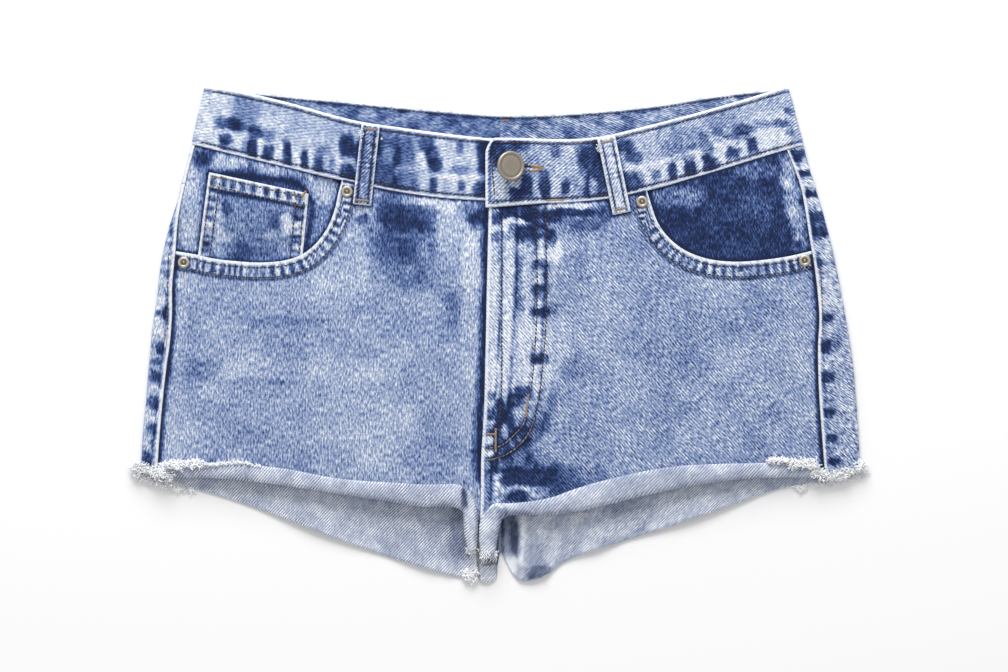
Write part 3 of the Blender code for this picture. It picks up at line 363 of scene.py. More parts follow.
def patch(top: np.ndarray, bottom: np.ndarray, left: np.ndarray, right: np.ndarray,
          u: np.ndarray, v: np.ndarray) -> np.ndarray:
    """Coons patch between four edge lines that meet at the corners: both ruled surfaces less the corners' one.

    Args:
        top, bottom: points along u.
        left, right: points along v.
        u, v: the points' shares.

    Returns:
        A grid of points, rows along v and columns along u.
    """
    u, v = u[None, :, None], v[:, None, None]
    ruled = (1 - v) * top[None] + v * bottom[None] + (1 - u) * left[:, None] + u * right[:, None]
    corners = (
        (1 - u) * (1 - v) * top[0] + u * (1 - v) * top[-1]
        + (1 - u) * v * bottom[0] + u * v * bottom[-1]
    )
    return ruled - corners


def near_line(line: tuple, x: np.ndarray, y: np.ndarray, count: int = 200) -> tuple[np.ndarray, np.ndarray]:
    """How near places are to a line in the plane, through its densely read points.

    Args:
        line: rows that start with x and y.
        x, y: the places.
        count: how many points are read.

    Returns:
        The distance, and how far along the line its nearest point is.
    """
    dense = along(line, np.linspace(0, 1, count))[:, :2]
    nearest, place = np.full(np.shape(x), np.inf), np.zeros(np.shape(x))
    for (px, py), run in zip(dense, lengths(dense)):
        gone = np.hypot(x - px, y - py)
        place = np.where(gone < nearest, run, place)
        nearest = np.minimum(nearest, gone)
    return nearest, place


def distance_to(line: np.ndarray, x: np.ndarray, y: np.ndarray) -> np.ndarray:
    """Distance from places to a line in the plane."""
    return near_line(line, x, y, 140)[0]


def lay_height(x: np.ndarray, y: np.ndarray) -> np.ndarray:
    """Height of the middle of the front cloth: low at the outseams, swelling between them and at the crotch.

    The swell falls with the fourth power of the place across, and the crotch adds a bell-shaped bump.

    Args:
        x, y: the places.

    Returns:
        The height at each place.
    """
    left, right = at_height(OUTSEAM_LEFT, y), at_height(OUTSEAM_RIGHT, y)
    across = np.clip((x - left) / (right - left), 0.0, 1.0) * 2.0 - 1.0
    bump = CROTCH_BUMP
    near = np.exp(-((x - bump["x"]) ** 2 + (y - bump["y"]) ** 2) / (2 * bump["spread"] ** 2))
    return at_x(LAY_SIDE, y) + at_x(LAY_SWELL, y) * (1.0 - across ** 4) + bump["height"] * near


def fold_of(side: Side, y: np.ndarray) -> tuple[np.ndarray, ...]:
    """The side fold at height y, to the cloth's middle.

    Args:
        side: which fold.
        y: the heights.

    Returns:
        Its outermost x, its centre's x and z, and its radius.
    """
    table = SIDE_LEFT if side is Side.LEFT else SIDE_RIGHT
    outer = at_height(table, y) - side.value * DENIM / 2
    radius = (lay_height(outer, y) - DENIM / 2) / 2
    return outer, outer - side.value * radius, radius + DENIM / 2, radius


def over_fold(x: np.ndarray, y: np.ndarray) -> np.ndarray:
    """Height of the middle of the top layer, rounded off by a quarter circle where it runs into a side fold.

    Args:
        x, y: the places.

    Returns:
        The height at each place.
    """
    z = lay_height(x, y)
    for side in Side:
        _, centre, _, radius = fold_of(side, y)
        past = np.clip((x - centre) * side.value, 0.0, radius)
        z = z - (radius - np.sqrt(np.maximum(radius ** 2 - past ** 2, 0.0)))
    return z


def outseam(side: Side, y: np.ndarray) -> np.ndarray:
    """x of the outseam, kept a little inside the fold.

    Args:
        side: which outseam.
        y: the heights.

    Returns:
        x at each height.
    """
    if side is Side.LEFT:
        return np.maximum(at_height(OUTSEAM_LEFT, y), at_height(SIDE_LEFT, y) + SEAM_INSET)
    return np.minimum(at_height(OUTSEAM_RIGHT, y), at_height(SIDE_RIGHT, y) - SEAM_INSET)


def fly_lift(x: np.ndarray, y: np.ndarray) -> np.ndarray:
    """How much higher the right front lies where the left front and the fly facing are under it."""
    inside = at_height(FLY_STITCH, y) - x
    return FLY_LIFT * smooth((inside + 5.0) / 5.0) * smooth((y + 126.0) / 6.0)


def pocket_of(side: Side) -> tuple:
    """The table of a side's pocket opening."""
    return POCKET_LEFT if side is Side.LEFT else POCKET_RIGHT


def seam_of(side: Side) -> tuple:
    """The table of a side's waist seam."""
    return FRONT_SEAM_LEFT if side is Side.LEFT else FRONT_SEAM_RIGHT


def pocket_band(side: Side, x: np.ndarray, y: np.ndarray, reach: float = 0.0) -> np.ndarray:
    """How far the turned pocket edge stands up over the front's cloth."""
    gone = distance_to(pocket_of(side), x, y)
    return POCKET_HEM * smooth(POCKET_HEM_WIDTH + 1.0 + reach - gone)


def normals_of(points: np.ndarray) -> np.ndarray:
    """Unit normals of a grid of points, from its rows and columns."""
    found = np.cross(np.gradient(points, axis=0), np.gradient(points, axis=1))
    return found / np.maximum(np.linalg.norm(found, axis=2, keepdims=True), 1e-9)


def grain(x: np.ndarray, y: np.ndarray, size: float, seed: int) -> np.ndarray:
    """Smooth value noise between -1 and 1: seeded numbers on a square lattice, blended by S curves.

    Args:
        x, y: places in millimetres.
        size: the lattice's pitch in millimetres.
        seed: which field.

    Returns:
        The noise at each place.
    """
    cells = 97
    lattice = np.random.default_rng(seed).uniform(-1, 1, (cells, cells))
    u, v = np.asarray(x) / size + 40.3, np.asarray(y) / size + 40.7
    i, j = np.floor(u).astype(int), np.floor(v).astype(int)
    s, t = smooth(u - i), smooth(v - j)
    i, j, k, m = i % cells, j % cells, (i + 1) % cells, (j + 1) % cells
    low = lattice[i, j] * (1 - s) + lattice[k, j] * s
    high = lattice[i, m] * (1 - s) + lattice[k, m] * s
    return low * (1 - t) + high * t


def stains(x: np.ndarray, y: np.ndarray, marks: tuple, seed: int) -> np.ndarray:
    """Lighter and darker places of the wash, which are blotches of the dye and also painted shade and light: a sum of
    soft boxes with ragged edges.

    Args:
        x, y: places in millimetres.
        marks: rows of (left, right, top, bottom, amount), in pixels of the photograph.
        seed: which raggedness.

    Returns:
        What they add to the wash.
    """
    px, py = x / PIXEL + PIXEL_ORIGIN[0], PIXEL_ORIGIN[1] - y / PIXEL
    stray_x = 3.0 * grain(x, y, 7.0, seed) + 2.2 * grain(x, y, 2.4, seed + 1)
    stray_y = 3.6 * grain(x, y, 5.0, seed + 2) + 3.0 * grain(x, y, 1.9, seed + 3)
    total = np.zeros_like(px)
    for left, right, top, bottom, amount in marks:
        ragged = min(max(min(right - left, bottom - top) / 22.0, 0.25), 1.0)
        across = np.abs(px + stray_x * ragged - (left + right) / 2) / ((right - left) / 2 + 1.0)
        down = np.abs(py + stray_y * ragged - (top + bottom) / 2) / ((bottom - top) / 2 + 1.0)
        total += amount * smooth((1.35 - (across ** 3 + down ** 3) ** (1 / 3)) / 0.7)
    return total


def from_photo(*places: tuple[float, float]) -> np.ndarray:
    """Millimetre places of points given in the photograph's pixels."""
    rows = np.array(places, float)
    return np.stack([(rows[:, 0] - PIXEL_ORIGIN[0]) * PIXEL, (PIXEL_ORIGIN[1] - rows[:, 1]) * PIXEL], -1)


def linear(code: str) -> tuple[float, ...]:
    """An sRGB hex colour as linear numbers with full opacity."""
    parts = [int(code[i:i + 2], 16) / 255 for i in (0, 2, 4)]
    return (*(c / 12.92 if c <= 0.04045 else ((c + 0.055) / 1.055) ** 2.4 for c in parts), 1.0)


def node(tree: bpy.types.NodeTree, kind: str, inputs: dict | None = None, stops: tuple = (),
         **settings: object) -> bpy.types.Node:
    """Adds a shader node with its settings and links.

    Args:
        tree: where it goes.
        kind: the node's type, without "ShaderNode".
        inputs: values, nodes or sockets by the name or number of the input that they go to.
        stops: (place, hex colour) rows of a colour ramp.
        settings: the node's own properties.

    Returns:
        The node.
    """
    made = tree.nodes.new("ShaderNode" + kind)
    for key, value in settings.items():
        setattr(made, key, value)
    for key, value in (inputs or {}).items():
        if isinstance(value, bpy.types.Node):
            value = value.outputs[0]
        if isinstance(value, bpy.types.NodeSocket):
            tree.links.new(value, made.inputs[key])
        else:
            made.inputs[key].default_value = value
    for number, (place, code) in enumerate(stops):
        ramp = made.color_ramp.elements
        stop = ramp[number] if number < 2 else ramp.new(place)
        stop.position, stop.color = place, linear(code)
    return made


def blank_material(name: str, roughness: float, metallic: float = 0.0) -> tuple:
    """A new material with the constant values set on its Principled shader.

    Args:
        name: the material's name.
        roughness, metallic: the constant values.

    Returns:
        The material, its node tree and its shader.
    """
    material = bpy.data.materials.new(name)
    material.use_nodes = True
    shader = material.node_tree.nodes["Principled BSDF"]
    shader.inputs["Roughness"].default_value = roughness
    shader.inputs["Metallic"].default_value = metallic
    return material, material.node_tree, shader


@dataclass(frozen=True)
class AcidWashedDenim:
    """Cotton twill woven with indigo warp and white weft, bleached in patches with pumice, so it is dull and
    flecked: dark where dye is left, nearly white on worn edges, with fine diagonal ribs and upright flecks.

    Attributes:
        name: the material's name.
        twill_degrees: the ribs' direction on the weave's own coordinates.
        twill: how much the ribs show in the colour.
        fleck: how much the flecks of single warp threads show.
        mottle: how much the finger-wide clouds show.
        hatch: how much the ribs show on the wrong side.
        lean: the flecks' direction on the weave's own coordinates, in degrees.
    """

    name: str
    twill_degrees: float = 62.0
    twill: float = 0.05
    fleck: float = 0.5
    mottle: float = 0.22
    hatch: float = 0.16
    lean: float = 90.0

    FACE = (
        (0.0, "111E40"), (0.15, "273C6B"), (0.35, "526898"), (0.55, "7F90B3"), (0.7, "9DAAC4"),
        (0.85, "BBC4D2"), (1.0, "E6E8EB"),
    )
    WRONG = ((0.0, "333C55"), (0.25, "717C97"), (0.45, "959EB5"), (0.62, "ABB3C5"), (0.8, "C3C9D6"), (1.0, "EDF0F5"))
    # Real ribs are 0.9 mm apart. They are drawn coarser, over two pixels, so that they show.
    RIB_PITCH = 1.65
    BACK_PITCH = 1.5           # the same on the wrong side
    BACK_RUN = (0.72, 0.69)    # across the ribs of the wrong side
    RIB_BEND = 3.0             # how far a fleck bends the ribs, in radians of their sine
    FLECK_SIZE = (1.05, 3.0)   # width and length of a fleck in millimetres
    CLOUD_SIZE = (7.0, 10.0)
    WORN_REACH = (2.5, 1.0)    # millimetres from an edge where wear starts and where it is whole
    WORN_WASH = 0.97

    def noises(self, tree: bpy.types.NodeTree, weave: bpy.types.NodeSocket) -> list[bpy.types.Node]:
        """Adds the noise of the flecks and of the clouds, each around 0, drawn out along the leaning warp.

        Args:
            tree: where they go.
            weave: the weave attribute's vector.

        Returns:
            The last node of each.
        """
        leant = node(tree, "VectorRotate", {0: weave, "Angle": math.radians(90.0 - self.lean)},
                     rotation_type="Z_AXIS")
        fields = []
        for size, detail in ((self.FLECK_SIZE, 2.0), (self.CLOUD_SIZE, 3.0)):
            place = node(tree, "VectorMath", {0: leant, 1: (1 / size[0], 1 / size[1], 0.13)}, operation="MULTIPLY")
            noise = node(tree, "TexNoise", {"Vector": place, "Scale": 1.0, "Detail": detail, "Roughness": 0.6})
            fields.append(node(tree, "Math", {0: noise, 1: 0.5}, operation="SUBTRACT"))
        return fields

    def ribs(self, tree: bpy.types.NodeTree, weave: bpy.types.NodeSocket, wrong: bpy.types.NodeSocket,
             fleck: bpy.types.Node) -> bpy.types.Node:
        """Adds the twill's ribs: a sine across them, on either side of the cloth, bent by the flecks.

        Args:
            tree: where they go.
            weave, wrong: the attributes' sockets.
            fleck: the flecks' noise.

        Returns:
            The node of the sine.
        """
        turn = math.radians(self.twill_degrees)
        runs = []
        for (across, along_warp), pitch in (((math.sin(turn), -math.cos(turn)), self.RIB_PITCH),
                                            (self.BACK_RUN, self.BACK_PITCH)):
            rate = 2 * math.pi / pitch
            runs.append(node(tree, "VectorMath", {0: weave, 1: (across * rate, along_warp * rate, 0)},
                             operation="DOT_PRODUCT").outputs["Value"])
        run = node(tree, "Mix", {"Factor": wrong, "A": runs[0], "B": runs[1]})
        bent = node(tree, "Math", {0: fleck, 1: self.RIB_BEND, 2: run}, operation="MULTIPLY_ADD")
        return node(tree, "Math", {0: bent}, operation="SINE")

    def make(self) -> bpy.types.Material:
        """Builds the material: the wash attribute with flecks, clouds, ribs and wear, through a dye ramp.

        Returns:
            The material.
        """
        material, tree, shader = blank_material(self.name, 0.88)
        shader.inputs["Sheen Weight"].default_value = 0.08
        shader.inputs["Specular IOR Level"].default_value = 0.2
        wash, worn, wrong = (node(tree, "Attribute", attribute_name=n).outputs["Fac"]
                             for n in ("wash", "worn", "wrong"))
        weave = node(tree, "Attribute", attribute_name="weave").outputs["Vector"]
        fleck, cloud = self.noises(tree, weave)
        rib = self.ribs(tree, weave, wrong, fleck)
        depth = node(tree, "MapRange", {0: wash, 1: 0.05, 2: 0.42, 3: 0.45, 4: 1.0})
        strength = node(tree, "Math", {0: wrong, 1: -0.66, 2: 1.0}, operation="MULTIPLY_ADD")
        patchy = node(tree, "Math", {0: cloud, 1: 3.2, 2: 1.0}, operation="MULTIPLY_ADD")
        patchy = node(tree, "Math", {0: patchy, 1: 0.25}, operation="MAXIMUM")
        patchy = node(tree, "Math", {0: patchy, 1: depth}, operation="MULTIPLY")
        ribbed = node(tree, "Mix", {"Factor": wrong, "A": self.twill, "B": self.hatch})
        ribbed = node(tree, "Math", {0: ribbed, 1: patchy}, operation="MULTIPLY")
        for factor in (self.fleck, depth):
            strength = node(tree, "Math", {0: strength, 1: factor}, operation="MULTIPLY")
        shade = wash
        for field_node, amount in ((fleck, strength), (cloud, self.mottle), (rib, ribbed)):
            shade = node(tree, "Math", {0: field_node, 1: amount, 2: shade}, operation="MULTIPLY_ADD")
        start, whole = self.WORN_REACH
        edge = node(tree, "MapRange", {0: worn, 1: start, 2: whole, 3: 0.0, 4: 1.0}, interpolation_type="SMOOTHSTEP")
        ragged = node(tree, "Math", {0: fleck, 1: 1.5, 2: 0.98}, operation="MULTIPLY_ADD", use_clamp=True)
        edge = node(tree, "Math", {0: edge, 1: ragged}, operation="MULTIPLY")
        shade = node(tree, "Mix", {"Factor": edge, "A": shade, "B": self.WORN_WASH})
        face, back = (node(tree, "ValToRGB", {0: shade}, stops=stops) for stops in (self.FACE, self.WRONG))
        colour = node(tree, "Mix", {0: wrong, 6: face, 7: back}, data_type="RGBA")
        tree.links.new(colour.outputs[2], shader.inputs["Base Color"])
        height = node(tree, "Math", {0: fleck, 1: 1.6, 2: rib}, operation="MULTIPLY_ADD")
        bump = node(tree, "Bump", {"Strength": 0.5, "Distance": 0.00012, "Height": height})
        tree.links.new(bump.outputs[0], shader.inputs["Normal"])
        return material


@dataclass(frozen=True)
class TintedFinish:
    """A finish whose colour runs along a ramp, by each point's tint and a fine noise.

    Attributes:
        name: the material's name.
        stops: (place, hex colour) rows of the ramp, its two ends first.
        roughness, metallic: of the shader.
        scale, detail, harshness: of the noise, its scale in cells per metre.
        mix: how much of the noise is added to the tint.
        bump: how strongly the noise is embossed.
    """

    name: str
    stops: tuple
    roughness: float
    metallic: float = 0.0
    scale: float = 900.0
    detail: float = 2.0
    harshness: float = 0.5
    mix: float = 0.4
    bump: float = 0.4

    def make(self) -> bpy.types.Material:
        """Builds the material: tint and noise through the ramp, and the noise embossed 0.1 mm deep.

        Returns:
            The material.
        """
        material, tree, shader = blank_material(self.name, self.roughness, self.metallic)
        tint = node(tree, "Attribute", attribute_name="tint").outputs["Fac"]
        place = node(tree, "TexCoord").outputs["Object"]
        noise = node(tree, "TexNoise", {"Vector": place, "Scale": self.scale, "Detail": self.detail,
                                        "Roughness": self.harshness})
        shade = node(tree, "Math", {0: noise, 1: self.mix, 2: tint}, operation="MULTIPLY_ADD")
        ramp = node(tree, "ValToRGB", {0: shade}, stops=self.stops)
        tree.links.new(ramp.outputs[0], shader.inputs["Base Color"])
        if self.bump:
            bump = node(tree, "Bump", {"Strength": self.bump, "Distance": 0.0001, "Height": noise})
            tree.links.new(bump.outputs[0], shader.inputs["Normal"])
        return material


@dataclass
class Cloth:
    """One layer of cloth: a grid of its middle points with what the dye and the wear show at each of them.

    Attributes:
        name: the object's name.
        points: rows and columns of middle points in millimetres; the normal side is the upper one.
        weave: millimetres across and along the warp at each point.
        wash: the dye's lightness, 0 deep indigo and 1 bleached, with painted shade and light added beside edges, in
            hollows and on ridges.
        worn: millimetres to the nearest worn edge.
        thick: the cloth's thickness.
        relief: what stands up over the upper side, or hollows it where it is less than 0.
        double: true where both sides show the face, as on a band that is folded in two.
        under_wash: the wash of the lower side, where it isn't that of the upper one, as on the backs, whose inner side
            alone gets painted shade and light by the crotch.
    """

    name: str
    points: np.ndarray
    weave: np.ndarray
    wash: np.ndarray
    worn: np.ndarray
    thick: np.ndarray | float = DENIM
    relief: np.ndarray | float = 0.0
    double: bool = False
    under_wash: np.ndarray | None = None

    CONTRAST = 0.13            # how much further from the middle wash each wash is drawn
    MIDDLE = 0.52
    ENDS = (0.08, 0.84)        # past these the wash is eased off
    RIM = 0.55                 # how far the rim stands out, as a share of half the thickness
    UNDER_SHIFT = (3.3, 1.7, 5.0)   # the weave's pattern on the lower side is another one

    @property
    def upper(self) -> np.ndarray:
        """Points of the upper side: the middle plus half the wall and the relief along the normal.

        Returns:
            The grid of points.
        """
        shape = self.points.shape[:2]
        lift = np.broadcast_to(self.thick, shape) / 2 + np.broadcast_to(self.relief, shape)
        return self.points + normals_of(self.points) * lift[..., None]

    def turned(self) -> "Cloth":
        """The same cloth with its lower side as the upper one, for what lies on that side."""
        return replace(self, thick=-self.thick, relief=0.0)

    def dyed(self, wash: np.ndarray) -> np.ndarray:
        """The wash at each vertex, with more contrast and with both of its ends eased off.

        Args:
            wash: the wash on the grid.

        Returns:
            One number for each point of the grid.
        """
        low, high = self.ENDS
        wash = np.broadcast_to(wash, self.points.shape[:2]).ravel()
        wash = wash + self.CONTRAST * (wash - self.MIDDLE)
        return wash - 0.7 * np.maximum(wash - high, 0) + 0.6 * np.maximum(low - wash, 0)

    def build(self, material: bpy.types.Material) -> bpy.types.Object:
        """Makes the closed shell: the upper side, the lower side and a rounded rim between them.

        Args:
            material: the shell's finish.

        Returns:
            The new object.
        """
        rows, columns = self.points.shape[:2]
        count = rows * columns
        half = np.broadcast_to(np.asarray(self.thick, float), (rows, columns))[..., None] / 2
        lower = self.points - normals_of(self.points) * half
        index = np.arange(count).reshape(rows, columns)
        quads = np.stack([index[:-1, :-1], index[1:, :-1], index[1:, 1:], index[:-1, 1:]], -1).reshape(-1, 4)
        ring = np.concatenate([index[0, :-1], index[:-1, -1], index[-1, :0:-1], index[:0:-1, 0]])
        within = np.concatenate([index[1, :-1], index[:-1, -2], index[-2, :0:-1], index[:0:-1, 1]])
        flat = self.points.reshape(-1, 3)
        outward = flat[ring] - flat[within]
        outward /= np.maximum(np.linalg.norm(outward, axis=1, keepdims=True), 1e-6)
        edge = flat[ring] + outward * half.reshape(-1, 1)[ring] * self.RIM
        number = 2 * count + np.arange(len(ring))
        after, number_after = np.roll(ring, -1), np.roll(number, -1)
        rims = [
            np.stack([ring, after, number_after, number], -1),
            np.stack([number, number_after, after + count, ring + count], -1),
        ]
        faces = np.concatenate([quads, quads[:, ::-1] + count, *rims])
        points = np.concatenate([self.upper.reshape(-1, 3), lower.reshape(-1, 3), edge])
        wash, worn = self.dyed(self.wash), np.broadcast_to(self.worn, (rows, columns)).ravel()
        below = wash if self.under_wash is None else self.dyed(self.under_wash)
        weave = np.concatenate([self.weave, np.zeros((rows, columns, 1))], -1).reshape(-1, 3)
        obj = mesh_object(self.name, points, faces, material)
        give(obj, "wash", np.concatenate([wash, below, wash[ring]]))
        give(obj, "worn", np.concatenate([worn, worn + 0.8, worn[ring]]))
        give(obj, "weave", np.concatenate([weave, weave + self.UNDER_SHIFT, weave[ring]]))
        under = 0.0 if self.double else 1.0
        give(obj, "wrong", np.concatenate([np.zeros(count), np.full(count, under), np.full(len(ring), under / 2)]))
        return obj


def mesh_object(name: str, points: np.ndarray, faces: np.ndarray,
                material: bpy.types.Material) -> bpy.types.Object:
    """A smooth mesh object at the origin from points in the tables' millimetres.

    Args:
        name: the object's name.
        points: one row for each vertex.
        faces: one row of vertex numbers for each face, all with as many corners.
        material: its finish.

    Returns:
        The object, riding on the root body.
    """
    mesh = bpy.data.meshes.new(name)
    corners = faces.shape[1]
    mesh.vertices.add(len(points))
    mesh.vertices.foreach_set("co", ((points - np.array([*BOX_CENTRE, 0.0])) * MM).astype(np.float32).ravel())
    mesh.loops.add(faces.size)
    mesh.loops.foreach_set("vertex_index", faces.astype(np.int32).ravel())
    mesh.polygons.add(len(faces))
    mesh.polygons.foreach_set("loop_start", np.arange(0, faces.size, corners, dtype=np.int32))
    mesh.update(calc_edges=True)
    mesh.shade_smooth()
    mesh.materials.append(material)
    obj = bpy.data.objects.new(name, mesh)
    bpy.context.scene.collection.objects.link(obj)
    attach(obj, "root")
    return obj


def give(obj: bpy.types.Object, name: str, values: np.ndarray) -> None:
    """Puts one number or vector at each vertex of a mesh as a named attribute.

    Args:
        obj: the mesh object.
        name: the attribute's name.
        values: one row for each vertex.
    """
    vector = values.ndim == 2
    made = obj.data.attributes.new(name, "FLOAT_VECTOR" if vector else "FLOAT", "POINT")
    made.data.foreach_set("vector" if vector else "value", values.astype(np.float32).ravel())


def puckers(run: np.ndarray, away: np.ndarray, pitch: float, reach: float, seed: int) -> np.ndarray:
    """Gathers beside a seam: an uneven sine along it that dies out away from it.

    Args:
        run: millimetres along the seam.
        away: millimetres from it.
        pitch: the gathers' usual distance.
        reach: how far they run out.
        seed: which unevenness.

    Returns:
        1 on a ridge and -1 in a hollow.
    """
    bent = run / pitch + 0.8 * grain(run, away, 2.6 * pitch, seed)
    size = 0.75 + 0.5 * grain(run, away * 0.3, 1.7 * pitch, seed + 1)
    return np.sin(2 * np.pi * bent) * size * smooth(1 - away / reach)


def creases(x: np.ndarray, y: np.ndarray, table: tuple) -> tuple[np.ndarray, np.ndarray]:
    """Folds: what they add to the height, and the painted light on their ridges and shade in their hollows that they
    add to the wash, bell-shaped across their lines.

    Args:
        x, y: places in millimetres.
        table: rows of (line in the photograph's pixels, height, half width, painted light and shade for the wash).

    Returns:
        The height in millimetres and the painted light and shade at each place.
    """
    height, wash = np.zeros_like(x), np.zeros_like(x)
    for line, rise, width, amount in table:
        away, run = near_line(from_photo(*line), x, y)
        form = bell(away / width)
        height, wash = height + rise * form, wash + amount * form * (0.8 + 0.4 * grain(run, 0 * x, 3.0, 180))
    return height, wash


def knee_shares(table: tuple, knee: int, before: int, after: int) -> np.ndarray:
    """Shares of a line's length, evenly spaced on each side of one of its rows.

    Args:
        table: the line's rows.
        knee: the number of that row.
        before, after: how many places are up to it and past it.

    Returns:
        The shares.
    """
    reach = lengths(np.array(table)[:, :2])
    middle = reach[knee] / reach[-1]
    return np.concatenate([np.linspace(0, middle, before), np.linspace(middle, 1, after + 1)[1:]])


def grained(x: np.ndarray, y: np.ndarray) -> np.ndarray:
    """Weave coordinates of a flat part: its own place, drawn a little askew as washed cloth is."""
    return np.stack([x + 1.3 * grain(x, y, 31.0, 11), y + 1.3 * grain(x, y, 37.0, 12)], -1)


def fly_wear(x: np.ndarray, y: np.ndarray) -> np.ndarray:
    """What the fly adds to the wash: painted shade in its grooves and beside its stitch rows, as bells across them,
    and its gathers.

    Args:
        x, y: places in millimetres.

    Returns:
        What is added at each place.
    """
    shift = x - (at_height(FLY_STITCH, y) - FLY_STITCH[0][1])
    down = smooth((y + 62.0) / 12.0) * smooth((86.0 - y) / 6.0)
    total = np.zeros_like(x)
    for place, width, amount in ((10.5, 1.35, -0.6), (1.2, 0.8, -0.42), (23.4, 1.0, -0.36), (29.4, 1.0, -0.36)):
        patchy = 0.75 + 0.5 * grain(x, y, 4.5, int(place) + 160)
        total = total + amount * patchy * bell((shift - place) / width)
    bars = puckers(-y, np.maximum(np.abs(shift - 26.4) - 2.6, 0), 6.5, 2.2, 171)
    return total * down + 0.2 * bars * smooth((y + 66.0) / 10.0)


@dataclass
class Front:
    """A front: the pocket's scoop and the waist seam above, the hem turned up to its face below.

    Attributes:
        side: which half.
        level: the wash's usual lightness.
        marks: its lighter and darker places.
        folds: its creases.
        roll_marks, roll_folds: the same for the hem that is rolled up over it; there the marks are mostly painted
            light and shade of its round form.
        opening, waist: columns along the pocket's scoop and along the waist seam.
        rows: rows of the panel, without the roll.
    """

    side: Side
    level: float
    marks: tuple = ()
    folds: tuple = ()
    roll_marks: tuple = ()
    roll_folds: tuple = ()
    opening: int = 70
    waist: int = 96
    rows: int = 150

    def hem(self) -> np.ndarray:
        """Rows of the turned hem, one for each column of the panel, closer along the turn at the crotch.

        Returns:
            Rows as in HEM_LEFT and HEM_RIGHT.
        """
        crotch = round((self.opening + self.waist) * CROTCH_SHARE)
        rest = self.opening + self.waist - crotch
        if self.side is Side.LEFT:
            return along(HEM_LEFT, knee_shares(HEM_LEFT, KNEE_LEFT, rest, crotch))
        return along(HEM_RIGHT, knee_shares(HEM_RIGHT, KNEE_RIGHT, crotch, rest))

    def plan(self, hem: np.ndarray) -> np.ndarray:
        """The panel's places between the waist and the hem's fold, as a Coons patch of its four edges.

        Args:
            hem: the hem's rows.

        Returns:
            A grid of (x, y).
        """
        left_side = self.side is Side.LEFT
        close = 25                 # rows in the first tenth, for the gathers
        spread = np.concatenate([np.linspace(0, 0.1, close + 1)[:-1], np.linspace(0.1, 1, self.rows - close)])
        ends = (-102.4, -1.0) if left_side else (-7.0, 95.2)
        waist_x = np.linspace(*ends, self.waist)
        waist_line = np.stack([waist_x, at_x(seam_of(self.side), waist_x) - SEAM_GAP], -1)
        opening = POCKET_LEFT[:-1] if left_side else POCKET_RIGHT[1:]
        opening = along(opening, np.linspace(0, 1, self.opening))
        top = np.concatenate([opening, waist_line] if left_side else [waist_line, opening])
        bottom = hem[:, 0:2] + self.upwards(hem) * (hem[:, 4] + DENIM / 2)[:, None]
        outer_end, centre_end = (0, -1) if left_side else (-1, 0)
        outer_y = np.linspace(top[outer_end, 1], bottom[outer_end, 1], self.rows)
        outer = np.stack([outseam(self.side, outer_y) - self.side.value * OUTSEAM_GAP, outer_y], -1)
        centre_y = np.linspace(top[centre_end, 1], bottom[centre_end, 1], self.rows)
        inner = np.stack([at_height(LEFT_CENTRE if left_side else FLY_EDGE, centre_y), centre_y], -1)
        sides = (outer, inner) if left_side else (inner, outer)
        for line, end in zip(sides, (0, -1)):
            top[end], bottom[end] = line[0], line[-1]
        sides = [along(line, spread) for line in sides]
        return patch(top, bottom, *sides, np.linspace(0, 1, self.opening + self.waist), spread)

    def upwards(self, hem: np.ndarray) -> np.ndarray:
        """Unit directions from the fold to the raw edge."""
        across = hem[:, 2:4] - hem[:, 0:2]
        return across / np.linalg.norm(across, axis=1)[:, None]

    def height(self, x: np.ndarray, y: np.ndarray) -> np.ndarray:
        """Height of the panel's middle: the lie of the top layer, raised along the fly on the right."""
        return over_fold(x, y) + (0.0 if self.side is Side.LEFT else fly_lift(x, y))

    def cuff(self, hem: np.ndarray, base: np.ndarray) -> tuple[np.ndarray, np.ndarray]:
        """Rows of the roll: a half circle round the fold, a run back over the front, and the tucked raw edge.

        Args:
            hem: the hem's rows.
            base: height of the panel's last row.

        Returns:
            The points, and how far round the roll each row is from the panel's end.
        """
        radius, tuck, half = hem[:, 4], np.radians(hem[:, 5]), DENIM / 2
        reach = np.linalg.norm(hem[:, 2:4] - hem[:, 0:2], axis=1)
        tuck_at = reach - half - EDGE_TUCK_RADIUS
        short_by = np.where(tuck < 0.6, EDGE_TUCK_RADIUS * (1 - np.sin(tuck)) + half, 0.0)
        steps = []
        for turn in np.radians(np.linspace(-67.5, 90.0, 8)):
            steps.append((radius + half - radius * np.cos(turn), radius * (1 + np.sin(turn))))
        for share in np.linspace(0.14, 1.0, 7):
            run = radius + half + (tuck_at - radius - half) * share
            steps.append((run, 2 * radius + 0.4 * share * (1 - share) * 4))
        for share in np.linspace(0.2, 1.0, 6):
            angle = tuck * share
            steps.append((
                tuck_at + EDGE_TUCK_RADIUS * np.sin(angle) + short_by * share,
                2 * radius - EDGE_TUCK_RADIUS * (1 - np.cos(angle)),
            ))
        out = np.array([step[0] for step in steps])
        up = np.array([step[1] for step in steps])
        run = np.cumsum(np.hypot(np.diff(out, axis=0, prepend=out[:1]), np.diff(up, axis=0, prepend=0.0)), axis=0)
        place = run[:, :, None] * 0 + hem[None, :, 0:2]
        rolled = np.arange(hem.shape[0]) * 0.9
        sway = 0.35 * grain(rolled[None] + 0 * out, run * 0.2, 9.0, 21) * smooth(run / 4.0)
        plan = place + self.upwards(hem)[None] * (out + sway)[..., None]
        up = up + 0.25 * grain(rolled[None] + 0 * out, run * 0.3, 7.0, 22) * smooth(up / 3.0)
        return np.concatenate([plan, (base[None] + up)[..., None]], -1), run

